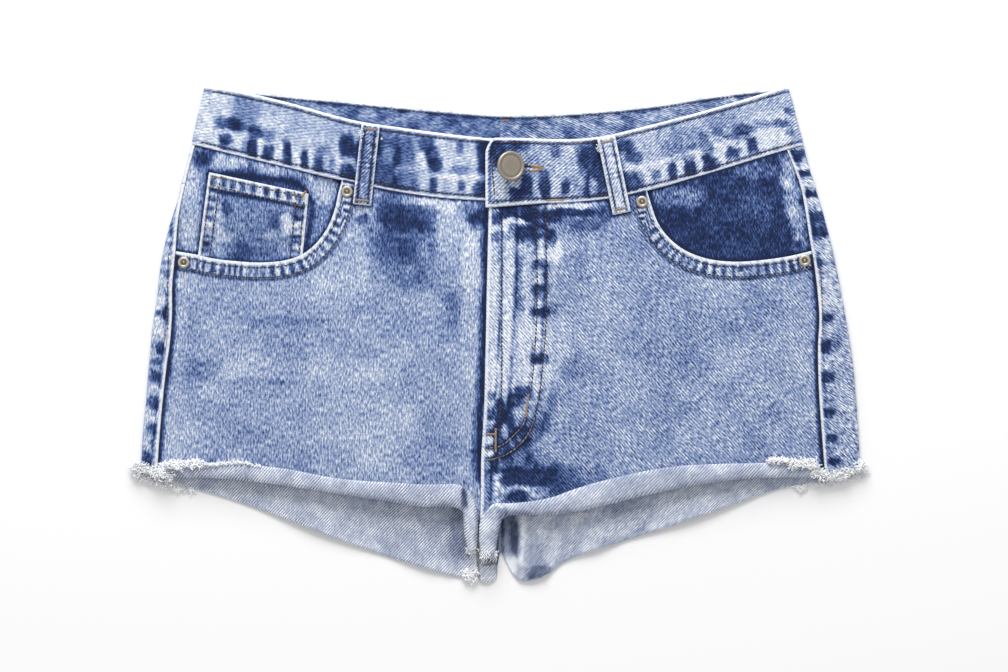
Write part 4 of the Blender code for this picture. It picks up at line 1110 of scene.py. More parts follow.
    def face(self, x: np.ndarray, y: np.ndarray) -> tuple[np.ndarray, np.ndarray, np.ndarray]:
        """What the panel's face shows: the pocket's band with its gathers, the waist's gathers, seams, blots and
        painted shade beside edges.

        Args:
            x, y: places in millimetres.

        Returns:
            The wash, the distance to a worn edge, and the relief.
        """
        away, place = near_line(pocket_of(self.side), x, y)
        band = POCKET_HEM * smooth((POCKET_HEM_WIDTH + 0.6 - away) / 0.9)
        bars = puckers(place, np.maximum(away - 8.4, 0.0), 4.7, 2.4, 31)
        seam_away = at_x(seam_of(self.side), x) - y
        gathers = puckers(x, np.maximum(seam_away - 0.5, 0.0), 6.5, 9.0, 35)
        gathers = gathers * smooth((away - 12.0) / 3.0)
        inside_band = smooth((POCKET_HEM_WIDTH + 1.0 - away) / 1.5)
        # The creases' wash is painted light on their ridges and painted shade in their hollows.
        raised, fold_shading = creases(x, y, self.folds)
        relief = band + 0.22 * bars * inside_band + 0.3 * gathers + 0.25 * grain(x, y, 42.0, 36) + raised
        wash = self.level + stains(x, y, self.marks, 40) + 0.08 * grain(x, y, 14.0, 37) + 0.06 * grain(x, y, 33.0, 38)
        wash = wash + 0.5 * bars * inside_band - 0.1 * inside_band + 0.16 * gathers + fold_shading
        # Painted shade: dark lines just outside the pocket's turned edge, under the waist seam and beside the belt
        # loops, and a wide one beside the outseam.
        wash = wash - 0.3 * smooth(1 - np.abs(away - POCKET_HEM_WIDTH - 1.2) / 1.6)
        wash = wash - 0.8 * smooth(1 - seam_away / 2.6) - 0.5 * beside_loops(x, y)
        wash = wash - 0.95 * smooth(1 - np.abs(x - outseam(self.side, y)) / 4.3)
        worn = away
        if self.side is Side.RIGHT:
            edge = np.abs(x - at_height(FLY_EDGE, y))
            worn = np.minimum(worn, edge)
            relief = relief + fly_relief(x, y)
            # Painted shade in the fly's grooves and beside its stitch rows.
            wash = wash + fly_wear(x, y)
        return wash, worn, relief

    def cloth(self) -> Cloth:
        """The whole front: the panel, and the roll whose rows follow on from it.

        Returns:
            The cloth.
        """
        hem = self.hem()
        plan = self.plan(hem)
        x, y = plan[..., 0], plan[..., 1]
        panel = np.stack([x, y, self.height(x, y)], -1)
        wash, worn, relief = self.face(x, y)
        turn, run = self.cuff(hem, panel[-1, :, 2])
        roll_x, roll_y = turn[..., 0], turn[..., 1]
        # The roll's creases add painted light on their ridges and painted shade in their hollows.
        bent, roll_fold_shading = creases(roll_x, roll_y, self.roll_folds)
        cuff_wash = ROLL_WASH + 0.1 * grain(roll_x, roll_y, 9.0, 41) + roll_fold_shading
        # Painted light on the roll's rounded top and painted shade at its sides and in its pinch, with whiter frayed
        # ends.
        cuff_wash = cuff_wash + stains(roll_x, roll_y, self.roll_marks, 43)
        return Cloth(
            f"front_{self.side.word}_cloth",
            np.concatenate([panel, turn]),
            np.concatenate([grained(x, y), grained(roll_x, roll_y) * (-1, 1)]),
            np.concatenate([wash, cuff_wash]),
            np.concatenate([worn, run[-1][None] - run + 0.3]),
            relief=np.concatenate([relief, bent * smooth(run / 5.0)]),
        )


def beside_loops(x: np.ndarray, y: np.ndarray) -> np.ndarray:
    """How much painted shade a belt loop casts beside it: an S curve of the distance.

    Args:
        x, y: places in millimetres.

    Returns:
        1 right beside a loop, falling to 0 in 3 mm.
    """
    total = np.zeros_like(x)
    for _, top_x, top_y, foot_x, foot_y in LOOPS:
        down = np.array([foot_x - top_x, foot_y - top_y])
        length = np.linalg.norm(down)
        down = down / length
        run = (x - top_x) * down[0] + (y - top_y) * down[1]
        off = np.abs((x - top_x) * down[1] - (y - top_y) * down[0])
        gone = np.hypot(np.maximum(off - LOOP_WIDTH / 2, 0), np.maximum(np.abs(run - length / 2) - length / 2, 0))
        total = np.maximum(total, smooth(1 - gone / 3.0))
    return total


def fly_relief(x: np.ndarray, y: np.ndarray) -> np.ndarray:
    """Ridges and grooves that run down the fly, over the facing's edge and both seams, as bells across them.

    Args:
        x, y: places in millimetres.

    Returns:
        The height that is added at each place.
    """
    shift = x - (at_height(FLY_STITCH, y) - FLY_STITCH[0][1])
    down = smooth((y + 55.0) / 14.0) * smooth((86.0 - y) / 10.0)
    total = np.zeros_like(x)
    for place, width, height in ((10.4, 1.3, -0.5), (5.5, 3.4, 0.35), (15.5, 3.2, 0.35), (24.5, 3.0, -0.25),
                                 (1.2, 0.8, -0.3), (-4.0, 2.4, 0.2)):
        total = total + height * bell((shift - place) / width)
    return total * down + 0.12 * down * grain(x * 2.0, y, 12.0, 51)


def crotch_folds(x: np.ndarray, y: np.ndarray) -> np.ndarray:
    """Small pinched folds of the back legs beside the crotch: ridges whose sides are bell-shaped and unlike.

    Args:
        x, y: places in millimetres.

    Returns:
        The height that is added at each place.
    """
    total = np.zeros_like(x)
    for centre_x, centre_y, lean, left, right, length, height in CROTCH_FOLDS:
        off = x - centre_x - lean * (y - centre_y)
        form = bell(off / np.where(off < 0, left, right))
        total = total + height * form * smooth(1.3 - np.abs(y - centre_y) / length)
    return total


@dataclass
class Back:
    """A back panel or a yoke: flat on the table, round the side fold and over the top to the outseam.

    Attributes:
        name: the node that it stands for.
        side: which half.
        slant: 1 for a yoke, whose upper edge follows the waist seam over the side, and 0 for a panel.
        columns, rows: points of the flat part.
        marks: lighter and darker places of the part that comes over the top.
        inner_marks: painted shade and light of the inner side, in the hollows and on the folds by the crotch.
    """

    name: str
    side: Side
    slant: float
    columns: int
    rows: int
    marks: tuple = ()
    inner_marks: tuple = ()

    def edges(self) -> tuple[np.ndarray, np.ndarray]:
        """The upper and lower edge lines, from the seat seam outwards.

        Returns:
            Points of both lines, one for each column.
        """
        left_side = self.side is Side.LEFT
        yoke_seam = YOKE_LEFT if left_side else YOKE_RIGHT
        u = np.linspace(0, 1, self.columns) ** 1.2
        if self.slant:
            ends = (-197.4, -0.15) if left_side else (0.15, 193.6)
            x = np.linspace(*ends, 40)
            corner = smooth((np.abs(x) - 170.0) / 25.0)
            upper = np.stack([x, at_x(BACK_SEAM, x) - SEAM_GAP - 0.4 * corner], -1)
            lower = np.array(yoke_seam) + (0, GAP / 2)
        else:
            upper = np.array(yoke_seam) - (0, GAP / 2)
            lower = np.array(BACK_HEM_LEFT[::-1] if left_side else BACK_HEM_RIGHT)
        turn = -1 if left_side else 1
        return along(upper[::turn], u), along(lower[::turn], u)

    def height(self, x: np.ndarray, y: np.ndarray) -> np.ndarray:
        """Height of its middle: flat, lifted at parts of the hem and at the inseam, as in the solid.

        Args:
            x, y: places in millimetres.

        Returns:
            The height, which the table doesn't limit.
        """
        rows = np.array(BACK_HEM_LEFT[::-1] if self.side is Side.LEFT else BACK_HEM_RIGHT)
        order = np.argsort(rows[:, 0])
        above = y - np.interp(x, rows[order, 0], rows[order, 1])
        z = np.full_like(x, DENIM / 2)
        for centre, half_width, height in HEM_LIFTS:
            z = z + height * smooth(1 - np.abs(x - centre) / half_width) * smooth(1 - above / HEM_LIFT_REACH)
        near = smooth(1 - (np.abs(x - at_height(SEAT_SEAM, y)) - INSEAM_SPREAD) / 13.0)
        low = smooth((-100.0 - y) / 16.0) * (1 - 0.6 * smooth((-142.0 - y) / 18.0))
        return z + (lay_height(x, y) - 2 * DENIM - GAP) * near * low + crotch_folds(x, y)

    def over_side(self, y: np.ndarray, slant: np.ndarray) -> np.ndarray:
        """Columns round the side fold, a quarter circle, and over the top, the last at the outseam.

        Args:
            y: heights of the fold's outermost points.
            slant: how far each row follows the waist seam's slope on top, from 0 to 1.

        Returns:
            A grid of points, one row for each height.
        """
        outer, centre, centre_z, radius = fold_of(self.side, y)
        seam = seam_of(self.side)
        made = []
        for angle in np.radians(np.linspace(15.0, 90.0, 6)):
            x = centre + self.side.value * radius * np.sin(angle)
            made.append([x, y, centre_z - radius * np.cos(angle)])
        end = outseam(self.side, y)
        end = outseam(self.side, y + slant * (at_x(seam, end) - at_x(seam, outer)))
        for share in np.linspace(0.06, 1.0, 14):
            x = outer + (end - outer) * share
            made.append([x, y + slant * (at_x(seam, x) - at_x(seam, outer)), over_fold(x, y) + 0.2 * share])
        return np.stack([np.stack(column, -1) for column in made], 1)

    def cloth(self) -> Cloth:
        """The whole piece; its face lies on the table and comes up at the side.

        Returns:
            The cloth.
        """
        sign = self.side.value
        v = np.linspace(0, 1, self.rows)
        upper, lower = self.edges()
        side_y = np.linspace(upper[-1, 1], lower[-1, 1], self.rows)
        outer = np.stack([fold_of(self.side, side_y)[1], side_y], -1)
        seam_y = np.linspace(upper[0, 1], lower[0, 1], self.rows)
        spread = GAP / 2 + (INSEAM_SPREAD - GAP / 2) * smooth((CROTCH_Y - seam_y) / 12.0)
        seam = np.stack([at_height(SEAT_SEAM, seam_y) + sign * spread, seam_y], -1)
        upper[0], lower[0], upper[-1], lower[-1] = seam[0], seam[-1], outer[0], outer[-1]
        flat = patch(upper, lower, seam, outer, np.linspace(0, 1, self.columns) ** 1.2, v)
        z = np.maximum(self.height(flat[..., 0], flat[..., 1]), DENIM / 2)
        z[:, -1] = DENIM / 2
        points = np.concatenate([np.concatenate([flat, z[..., None]], -1),
                                 self.over_side(side_y, self.slant * (1 - v))], 1)
        run = np.cumsum(np.linalg.norm(np.diff(points, axis=1, prepend=points[:, :1]), axis=2), axis=1)
        past_flat = np.arange(run.shape[1])[None] >= self.columns - 1
        weave = np.stack([-sign * run, points[..., 1]], -1)
        if sign > 0:
            points, weave, past_flat = points[:, ::-1], weave[:, ::-1], past_flat[:, ::-1]
        x, y = points[..., 0], points[..., 1]
        at_end = np.abs(x - outseam(self.side, y))
        on_top = smooth(points[..., 2] - 2.5) * past_flat
        bars = puckers(y, np.abs(at_end - 5.0), 9.0, 7.0, 61) * on_top
        wash = 0.6 + 0.1 * grain(weave[..., 0], y, 16.0, 62) + 0.08 * grain(weave[..., 0], y, 5.0, 63)
        # Painted shade in the hollows by the crotch and painted light on the ridges of its folds, only on the inner
        # side that shows.
        inner = stains(x, y, self.inner_marks, 66) + 0.08 * crotch_folds(x, y)
        wash = wash + stains(x, y, self.marks, 64) * on_top + 0.1 * bars
        hem_away = y - points[-1:, :, 1]
        joint = hem_away if self.slant else points[:1, :, 1] - y
        # Painted shade in the grooves along the yoke seam and the centre back seam, with lighter and darker gathers
        # beside the yoke seam.
        seams = 0.2 * puckers(x, joint, 8.0, 9.0, 69) - 0.3 * bell((joint - 1.0) / 1.3)
        seams = seams - 0.3 * bell((np.abs(x) - 1.5) / 1.3) * smooth(joint + 1.0)
        wash = wash + seams * (1 - on_top)
        # Painted shade along the outseam's stitch row, on the part that comes over the top.
        wash = wash - 0.36 * bell((at_end - 3.3) / 1.1) * on_top * (0.6 + 0.8 * grain(x, y, 4.0, 68))
        worn = np.minimum(np.where(on_top > 0.5, at_end * 1.2, NOT_WORN), NOT_WORN if self.slant else hem_away + 0.7)
        loop_end = stains(x, y, ((800, 816, 178, 190, 0.7),), 67) * on_top
        return Cloth(f"{self.name}_cloth", points, weave, wash, worn, relief=0.22 * bars + loop_end,
                     under_wash=wash + inner * (1 - on_top))


@dataclass
class PocketFacing:
    """The denim side piece in a pocket's opening, which runs on under the front.

    Attributes:
        side: which half.
        level: the wash's usual lightness.
        marks: its lighter and darker places.
        columns, rows: points of the grid.
    """

    side: Side
    level: float
    marks: tuple
    columns: int = 78
    rows: int = 62

    def drop(self, x: np.ndarray, y: np.ndarray) -> np.ndarray:
        """How far it lies under the top layer: under the pocket's edge, and up by an S curve inside the opening.

        Args:
            x, y: places in millimetres.

        Returns:
            The depth of its middle under the front's middle.
        """
        pocket = np.array(pocket_of(self.side))
        depth = (2 if self.side is Side.LEFT else 1) * (DENIM + GAP)
        middle = pocket[len(pocket) // 2]
        inside = (x - middle[0]) * self.side.value + (y - middle[1]) > -30.0
        order = np.argsort(pocket[:, 0])
        above = y > np.interp(x, pocket[order, 0], pocket[order, 1])
        beyond = x < pocket[:, 0].max() if self.side is Side.LEFT else x > pocket[:, 0].min()
        under = np.where(inside & above & beyond, distance_to(pocket_of(self.side), x, y), 0.0)
        return depth - (depth - GAP) * smooth((under - 4.0) / FACING_RISE_REACH)

    def cloth(self) -> Cloth:
        """The piece as a Coons patch between the waist seam, the outseam and its hidden edges.

        Returns:
            The cloth.
        """
        left_side = self.side is Side.LEFT
        u, v = np.linspace(0, 1, self.columns), np.linspace(0, 1, self.rows)
        below = FACING_BELOW_LEFT if left_side else FACING_BELOW_RIGHT
        hidden = along(FACING_END_LEFT if left_side else FACING_END_RIGHT, v)
        bottom = along(below, u)
        outer_y = np.linspace(121.6 if left_side else 118.6, below[0 if left_side else -1][1], self.rows)
        outer = np.stack([outseam(self.side, outer_y) - self.side.value * OUTSEAM_GAP, outer_y], -1)
        ends = (outer[0, 0], hidden[0, 0]) if left_side else (hidden[0, 0], outer[0, 0])
        top_x = np.linspace(*ends, self.columns)
        top = np.stack([top_x, at_x(seam_of(self.side), top_x) - GAP], -1)
        sides = (outer, hidden) if left_side else (hidden, outer)
        for line, place in zip(sides, (0, -1)):
            line[0] = top[place]
            bottom[place] = line[-1]
        flat = patch(top, bottom, *sides, u, v)
        x, y = flat[..., 0], flat[..., 1]
        z = over_fold(x, y) - self.drop(x, y)
        away = at_x(seam_of(self.side), x) - y
        gathers = puckers(x, away, 5.5, 8.5, 71)
        wash = self.level + stains(x, y, self.marks, 72) + 0.06 * grain(x, y, 11.0, 73) + 0.24 * gathers
        # Painted shade under the waist seam and under the front's pocket edge, and on the left beside the coin
        # pocket's edges.
        wash = wash - 0.7 * smooth(1 - away / 2.4) - 0.5 * smooth(1 - distance_to(pocket_of(self.side), x, y) / 3.4)
        if left_side:
            wash = wash - 0.42 * smooth(1 - distance_to(COIN_CORNERS[:3], x, y) / 3.4)
            wash = wash - 0.46 * smooth(1 - distance_to(COIN_CORNERS[::3], x, y) / 3.0)
        return Cloth(f"pocket_facing_{self.side.word}_cloth", np.stack([x, y, z], -1), grained(x, y), wash,
                     np.full_like(x, NOT_WORN), relief=0.25 * gathers)


@dataclass
class CoinPocket:
    """The small patch pocket on the left facing, with its turned upper hem and worn edges.

    Attributes:
        facing: what it lies on.
        marks: its lighter and darker places.
        level: the wash's usual lightness.
        columns, rows: points of the grid.
    """

    facing: PocketFacing
    marks: tuple
    level: float = 0.42
    columns: int = 56
    rows: int = 60

    def cloth(self) -> Cloth:
        """The patch as a ruled surface between its upper edge and its foot, lying on the facing.

        Returns:
            The cloth.
        """
        u = np.linspace(0, 1, self.columns)
        v = np.linspace(0, 1, self.rows) ** 1.15
        corners = np.array(COIN_CORNERS)
        top = corners[0] + (corners[1] - corners[0]) * u[:, None]
        foot = corners[3] + (corners[2] - corners[3]) * u[:, None]
        flat = top[None] * (1 - v)[:, None, None] + foot[None] * v[:, None, None]
        x, y = flat[..., 0], flat[..., 1]
        z = over_fold(x, y) - self.facing.drop(x, y) + DENIM + GAP
        down = np.linalg.norm(foot[0] - top[0]) * v[:, None] + 0 * x
        in_from = np.minimum(u, 1 - u)[None] * np.linalg.norm(top[-1] - top[0]) + 0 * x
        hem = smooth((COIN_HEM + 0.8 - down) / 0.9)
        bars = puckers(x, 0 * x, 6.8, 3.0, 81) * hem
        sides = puckers(y, np.maximum(in_from - 5.5, 0), 5.6, 3.0, 83) * (1 - hem)
        wash = self.level + stains(x, y, self.marks, 84) + 0.5 * bars + 0.32 * sides + 0.06 * hem
        wash = wash + 0.1 * smooth(1.5 - in_from / 6.0)
        # Painted shade just below the turned hem's edge.
        wash = wash - 0.45 * smooth(1 - np.abs(down - COIN_HEM - 2.0) / 2.8) + 0.06 * grain(x, y, 9.0, 85)
        wash = wash + 0.4 * bell(down - COIN_HEM + 0.6)
        # Painted shadow where the front's pocket edge lies over the patch.
        wash = wash - 0.3 * smooth(1 - distance_to(POCKET_LEFT, x, y) / 3.2)
        return Cloth(
            "coin_pocket_cloth", np.stack([x, y, z], -1), grained(x + 90.0, y), wash,
            np.minimum(down, in_from) * 1.1 + 0.35, relief=0.6 * hem + 0.2 * bars + 0.15 * sides,
        )


@dataclass
class Waistband:
    """One half of the waistband: from its front end out to the side, round the fold and to the centre back.

    Attributes:
        side: which half.
        level: the wash's usual lightness.
        marks: its lighter and darker places.
        folds: small ridges and hollows of its face.
        rows: points down the band.
        front, back: points along the front and along the back.
    """

    side: Side
    level: float
    marks: tuple = ()
    folds: tuple = ()
    rows: int = 40
    front: int = 230
    back: int = 110

    def line(self, share: float) -> np.ndarray:
        """One line along the band, from its front end over the side fold's arc to the centre back.

        Args:
            share: of the band's height, 0 at the top edge and 1 at the foot.

        Returns:
            Points of the line.
        """
        sign, left_side = self.side.value, self.side is Side.LEFT
        heights = BAND_HEIGHT_LEFT if left_side else BAND_HEIGHT_RIGHT
        seam = seam_of(self.side)
        side_top, side_foot = (np.array(p) for p in BAND_SIDE[self.side.word])
        corner = side_top + (side_foot - side_top) * share
        radius = (at_x(heights, corner[0]) - BAND / 2) / 2
        centre = corner[0] - sign * (BAND / 2 + radius)
        end = UNDERLAP_END if left_side else OVERLAP_END + 5.0 * max(1 - share / 0.24, 0.0) ** 2
        front_x = np.linspace(end, centre, self.front)
        front_y = at_x(FRONT_TOP, front_x) * (1 - share) + at_x(seam, front_x) * share
        if left_side:
            front_y = front_y - 0.5 * (1 - share) * smooth((front_x + 14.0) / 6.0)
        angles = np.radians(np.linspace(15.0, 165.0, 11))
        fold = np.stack([
            centre + sign * radius * np.sin(angles), np.full(11, front_y[-1]),
            BAND / 2 + radius + radius * np.cos(angles),
        ], -1)
        back_x = np.linspace(centre, sign * GAP / 2, self.back)
        back_y = at_x(BACK_TOP, back_x) * (1 - share) + at_x(BACK_SEAM, back_x) * share
        back_y = back_y + (front_y[-1] - back_y[0]) * np.linspace(1, 0, self.back) ** 3
        front = np.stack([front_x, front_y, at_x(heights, front_x)], -1)
        return np.concatenate([front, fold, np.stack([back_x, back_y, np.full(self.back, BAND / 2)], -1)])

    def cloth(self) -> Cloth:
        """The band with rolled edges, gathers over its lower seam and the wash's blots between them, with painted
        shade along its stitching, beside the loops and at the overlap.

        Returns:
            The cloth.
        """
        shares = np.linspace(0, 1, self.rows)
        shares = 0.5 - 0.5 * np.sin((0.5 - shares) * np.pi * 0.86) / np.sin(0.43 * np.pi)   # closer at the edges
        points = np.array([self.line(share) for share in shares])
        run = np.cumsum(np.linalg.norm(np.diff(points, axis=1, prepend=points[:, :1]), axis=2), axis=1)
        down = shares[:, None] * BAND_DROP + 0 * run
        edge = np.minimum(down, BAND_DROP - down)
        if self.side is Side.LEFT:
            points = points[:, ::-1]
            run, down, edge = run[:, ::-1], down[:, ::-1], edge[:, ::-1]
        x, y = points[..., 0], points[..., 1]
        on_top = smooth((points[..., 2] - 2.6) / 1.2)
        low = puckers(x, np.maximum(BAND_DROP - 4.0 - down, 0), 9.5, 14.0, 91)
        high = puckers(x, down - 3.0, 11.0, 9.0, 93)
        end = np.where(on_top > 0.5, run, NOT_WORN) if self.side is Side.RIGHT else np.full_like(run, NOT_WORN)
        near = np.minimum(edge, end)
        thick = BAND * (0.82 + 0.18 * smooth(near / 0.8))
        groove = -0.25 * bell((near - EDGE_ROW) / 0.8)
        # Its creases add painted light on their ridges and painted shade in their hollows.
        raised, fold_shading = (part * on_top for part in creases(x, y, self.folds))
        wash = self.level + stains(x, y, self.marks, 94) * on_top + 0.08 * low * on_top + 0.06 * high * on_top + fold_shading
        darker = (0.27 if self.side is Side.LEFT else 0.2) + 0.24 * grain(run, down, 6.0, 96)
        wash = wash + 0.07 * grain(run, down, 12.0, 95) - (1 - on_top) * darker
        # Painted shade along the edge stitching's groove and beside the belt loops.
        stitch_shade = bell((near - EDGE_ROW) / 0.85)
        wash = wash - 0.36 * stitch_shade * (0.4 + 0.6 * on_top) - 0.34 * beside_loops(x, y) * on_top
        # Painted shadow of the right band's end, which lies over the left band.
        if self.side is Side.LEFT:
            wash = wash - 0.4 * smooth(1 - np.abs(x - OVERLAP_END) / 3.4) * on_top
        worn = np.where(on_top > 0.5, near * 1.6, np.maximum(near * 1.2 - 0.6, 0))
        relief = groove + (0.28 * low + 0.2 * high) * on_top + raised
        return Cloth(f"waistband_{self.side.word}_cloth", points, np.stack([down * 0.9, run], -1), wash, worn,
                     thick=thick, relief=relief, double=True)

    @property
    def front_part(self) -> tuple:
        """The slice of its grid that lies on the front."""
        return np.s_[:, -self.front:] if self.side is Side.LEFT else np.s_[:, :self.front]

    @property
    def back_part(self) -> tuple:
        """The slice of its grid that lies at the back."""
        return np.s_[:, :self.back] if self.side is Side.LEFT else np.s_[:, -self.back:]

    def cut_hole(self, band: bpy.types.Object) -> None:
        """Cuts the keyhole for the button with a round and a narrow cutter, and keeps the result as the mesh.

        Args:
            band: the band's object.
        """
        hole = BUTTONHOLE
        turn = np.linspace(0, 2 * np.pi, 25)[:-1]
        length = hole["end_x"] - hole["eye_x"]
        eye = hole["eye_radius"] * np.stack([np.cos(turn), np.sin(turn)], -1)
        slit = np.array([(0, -1), (length * 0.6, -0.8), (length, 0.0), (length * 0.6, 0.8), (0, 1.0)])
        for name, ring in (("eye", eye), ("slit", slit * (1, hole["slit"] * 0.8))):
            ring = ring + (hole["eye_x"], hole["y"])
            count = len(ring)
            low, high = (np.concatenate([ring, np.full((count, 1), z)], 1) for z in (4.0, 14.0))
            mesh = bpy.data.meshes.new("cutter")
            around = [(i, (i + 1) % count, (i + 1) % count + count, i + count) for i in range(count)]
            caps = [tuple(range(count))[::-1], tuple(range(count, 2 * count))]
            points = (np.concatenate([low, high]) - np.array([*BOX_CENTRE, 0])) * MM
            mesh.from_pydata(points.tolist(), [], around + caps)
            cutter = bpy.data.objects.new("cutter", mesh)
            bpy.context.scene.collection.objects.link(cutter)
            cut = band.modifiers.new(name, "BOOLEAN")
            cut.operation, cut.object, cut.solver = "DIFFERENCE", cutter, "EXACT"
            shown = band.evaluated_get(bpy.context.evaluated_depsgraph_get())
            made = bpy.data.meshes.new_from_object(shown)
            band.modifiers.clear()
            band.data = made
            bpy.data.objects.remove(cutter)


@dataclass
class BeltLoop:
    """A front belt loop: over the waistband, a little slack in the middle, and down onto the front.

    Attributes:
        name: of its node.
        top, foot: the middles of its two ends.
        level: the wash's usual lightness.
        columns, rows: points of the grid.
    """

    name: str
    top: tuple[float, float]
    foot: tuple[float, float]
    level: float = 0.58
    columns: int = 22
    rows: int = 84

    def plan(self) -> tuple[np.ndarray, np.ndarray, np.ndarray]:
        """Places of its grid.

        Returns:
            The places as (x, y), the shares down it and the shares across it.
        """
        down = np.subtract(self.foot, self.top)
        length = np.linalg.norm(down)
        down = down / length
        across = np.array([-down[1], down[0]])
        shares, widths = np.linspace(0, 1, self.rows), np.linspace(-0.5, 0.5, self.columns)
        middle = np.array(self.top) + down * length * shares[:, None, None]
        return middle + across * widths[None, :, None] * LOOP_WIDTH, shares, widths

    def cloth(self) -> Cloth:
        """The loop with both folded edges raised, a half sine of slack, and pressed ends under the bar tacks.

        Returns:
            The cloth.
        """
        plan, shares, widths = self.plan()
        side = Side.LEFT if self.top[0] < 0 else Side.RIGHT
        heights = BAND_HEIGHT_LEFT if side is Side.LEFT else BAND_HEIGHT_RIGHT
        x, y = plan[..., 0], plan[..., 1]
        on_front = over_fold(x, y) + DENIM / 2 + pocket_band(side, x, y, 8.0)
        past_seam = smooth((at_x(seam_of(side), x) + 1.5 - y) / 3.5)
        slack = LOOP_SLACK * np.sin(np.pi * np.clip(shares / 0.8, 0, 1))[:, None]
        z = (at_x(heights, x) + BAND / 2) * (1 - past_seam) + on_front * past_seam + GAP + LOOP / 2 + slack
        end = np.minimum(shares, 1 - shares)[:, None] * LOOP_LENGTH + 0 * x
        edge = (0.5 - np.abs(widths))[None] * LOOP_WIDTH + 0 * x
        thick = LOOP * (0.62 + 0.38 * smooth(np.minimum(end / 1.4, edge / 0.9)))
        z = z - (LOOP - thick) / 2
        run = shares[:, None] * LOOP_LENGTH + 0 * x
        bars = puckers(run, 0 * run, 4.2, 2.0, 101)
        ridge = 0.3 * bell((edge - 1.6) / 1.1) - 0.25 * bell((end - 2.4) / 1.2)
        wash = self.level + 0.16 * bell((edge - 1.0) / 0.8) + 0.1 * bars
        # Painted shade along the two stitch rows.
        wash = wash - 0.6 * bell((edge - 2.3) / 0.65)
        wash = wash + 0.08 * grain(x, y, 4.0, 103)
        across = widths[None] * LOOP_WIDTH + 0 * x
        return Cloth(f"{self.name}_cloth", np.stack([x, y, z], -1), np.stack([across, run], -1), wash,
                     np.minimum(edge, end) * 1.8 + 0.25, thick=thick, relief=ridge + 0.1 * bars, double=True)


def tubes(middle: tuple, heading: np.ndarray, radius: np.ndarray, around: tuple,
          flat: float = 1.0) -> tuple[np.ndarray, np.ndarray]:
    """Thin bodies along many short lines, as rings of points joined by quads.

    A ring's point at the angle a stands r cos a to the left of the heading and r flat sin a above the middle.

    Args:
        middle: x, y and z of the lines' points, each one row for each line.
        heading: the direction at each point, or one for each line in a column.
        radius: of each ring along a line.
        around: angles of a ring's points, in degrees.
        flat: a ring's height over its width.

    Returns:
        The points, and the quads.
    """
    x, y, z = (part[..., None] for part in middle)
    turn = np.radians(np.array(around))
    side = radius[:, None] * np.cos(turn)
    points = np.stack([
        x - np.sin(heading)[..., None] * side,
        y + np.cos(heading)[..., None] * side,
        z + flat * radius[:, None] * np.sin(turn),
    ], -1)
    count, rings, steps = points.shape[:3]
    ring, step = (part.ravel() for part in np.meshgrid(np.arange(rings - 1), np.arange(steps), indexing="ij"))
    here, after = ring * steps + step, ring * steps + (step + 1) % steps
    quads = np.stack([here, here + steps, after + steps, after], -1)
    quads = (np.arange(count)[:, None, None] * rings * steps + quads[None]).reshape(-1, 4)
    return points.reshape(-1, 3), quads


@dataclass
class StitchRow:
    """A row of lockstitches along a line on one piece of cloth.

    Attributes:
        line: (x, y) rows in millimetres.
        cloth: what it is sewn on.
        tint: 0 dull and 1 gold.
        pitch, length, width: of one stitch.
        turn: how far each stitch is turned from the line, in degrees.
        spread: how far a stitch's place strays across the line.
        part: the slice of the cloth's grid that it lies on, or None for all.
    """

    line: np.ndarray
    cloth: Cloth
    tint: float = 0.3
    pitch: float = 2.6
    length: float = 2.3
    width: float = 0.95
    turn: float = 5.0
    spread: float = 0.05
    part: slice | tuple | None = None

    STEPS = np.array([-0.5, -0.38, 0.0, 0.38, 0.5])       # places of a stitch's rings, in shares of its length
    SWELL = np.array([0.35, 0.85, 1.0, 0.85, 0.35])       # their radii, in shares of the thread's
    ARCH = np.array([-0.28, 0.05, 0.16, 0.05, -0.28])     # their heights over the cloth, in millimetres
    AROUND = (18.0, 90.0, 162.0, 234.0, 306.0)            # a ring's points, in degrees

    def bodies(self, rng: np.random.Generator) -> tuple[np.ndarray, np.ndarray, np.ndarray]:
        """Every stitch of the row as a short swollen tube that arches up from the cloth.

        Args:
            rng: seeded numbers.

        Returns:
            The points, the quads, and the tint at each point.
        """
        line = np.asarray(self.line, float)
        reach = lengths(line)
        count = max(int(reach[-1] / self.pitch), 1)
        at = (np.arange(count) + 0.5) / count * reach[-1] + rng.uniform(-0.12, 0.12, count) * self.pitch * 0.4
        x, y = (through(reach, line[:, k], at) for k in (0, 1))
        ahead = [through(reach, line[:, k], at + 0.4) - through(reach, line[:, k], at - 0.4) for k in (0, 1)]
        heading = np.arctan2(ahead[1], ahead[0]) + np.radians(self.turn + rng.uniform(-5, 5, count))
        x = x + rng.normal(0, self.spread, count)
        y = y + rng.normal(0, self.spread, count)
        length = self.length * rng.uniform(0.9, 1.08, count)
        px = x[:, None] + np.cos(heading)[:, None] * self.STEPS * length[:, None]
        py = y[:, None] + np.sin(heading)[:, None] * self.STEPS * length[:, None]
        pz = top_height(self.cloth, px, py, self.part) + self.ARCH
        points, quads = tubes((px, py, pz), heading[:, None], self.width / 2 * self.SWELL, self.AROUND, 0.8)
        return points, quads, np.repeat(self.tint + rng.uniform(-0.14, 0.14, count), len(points) // count)


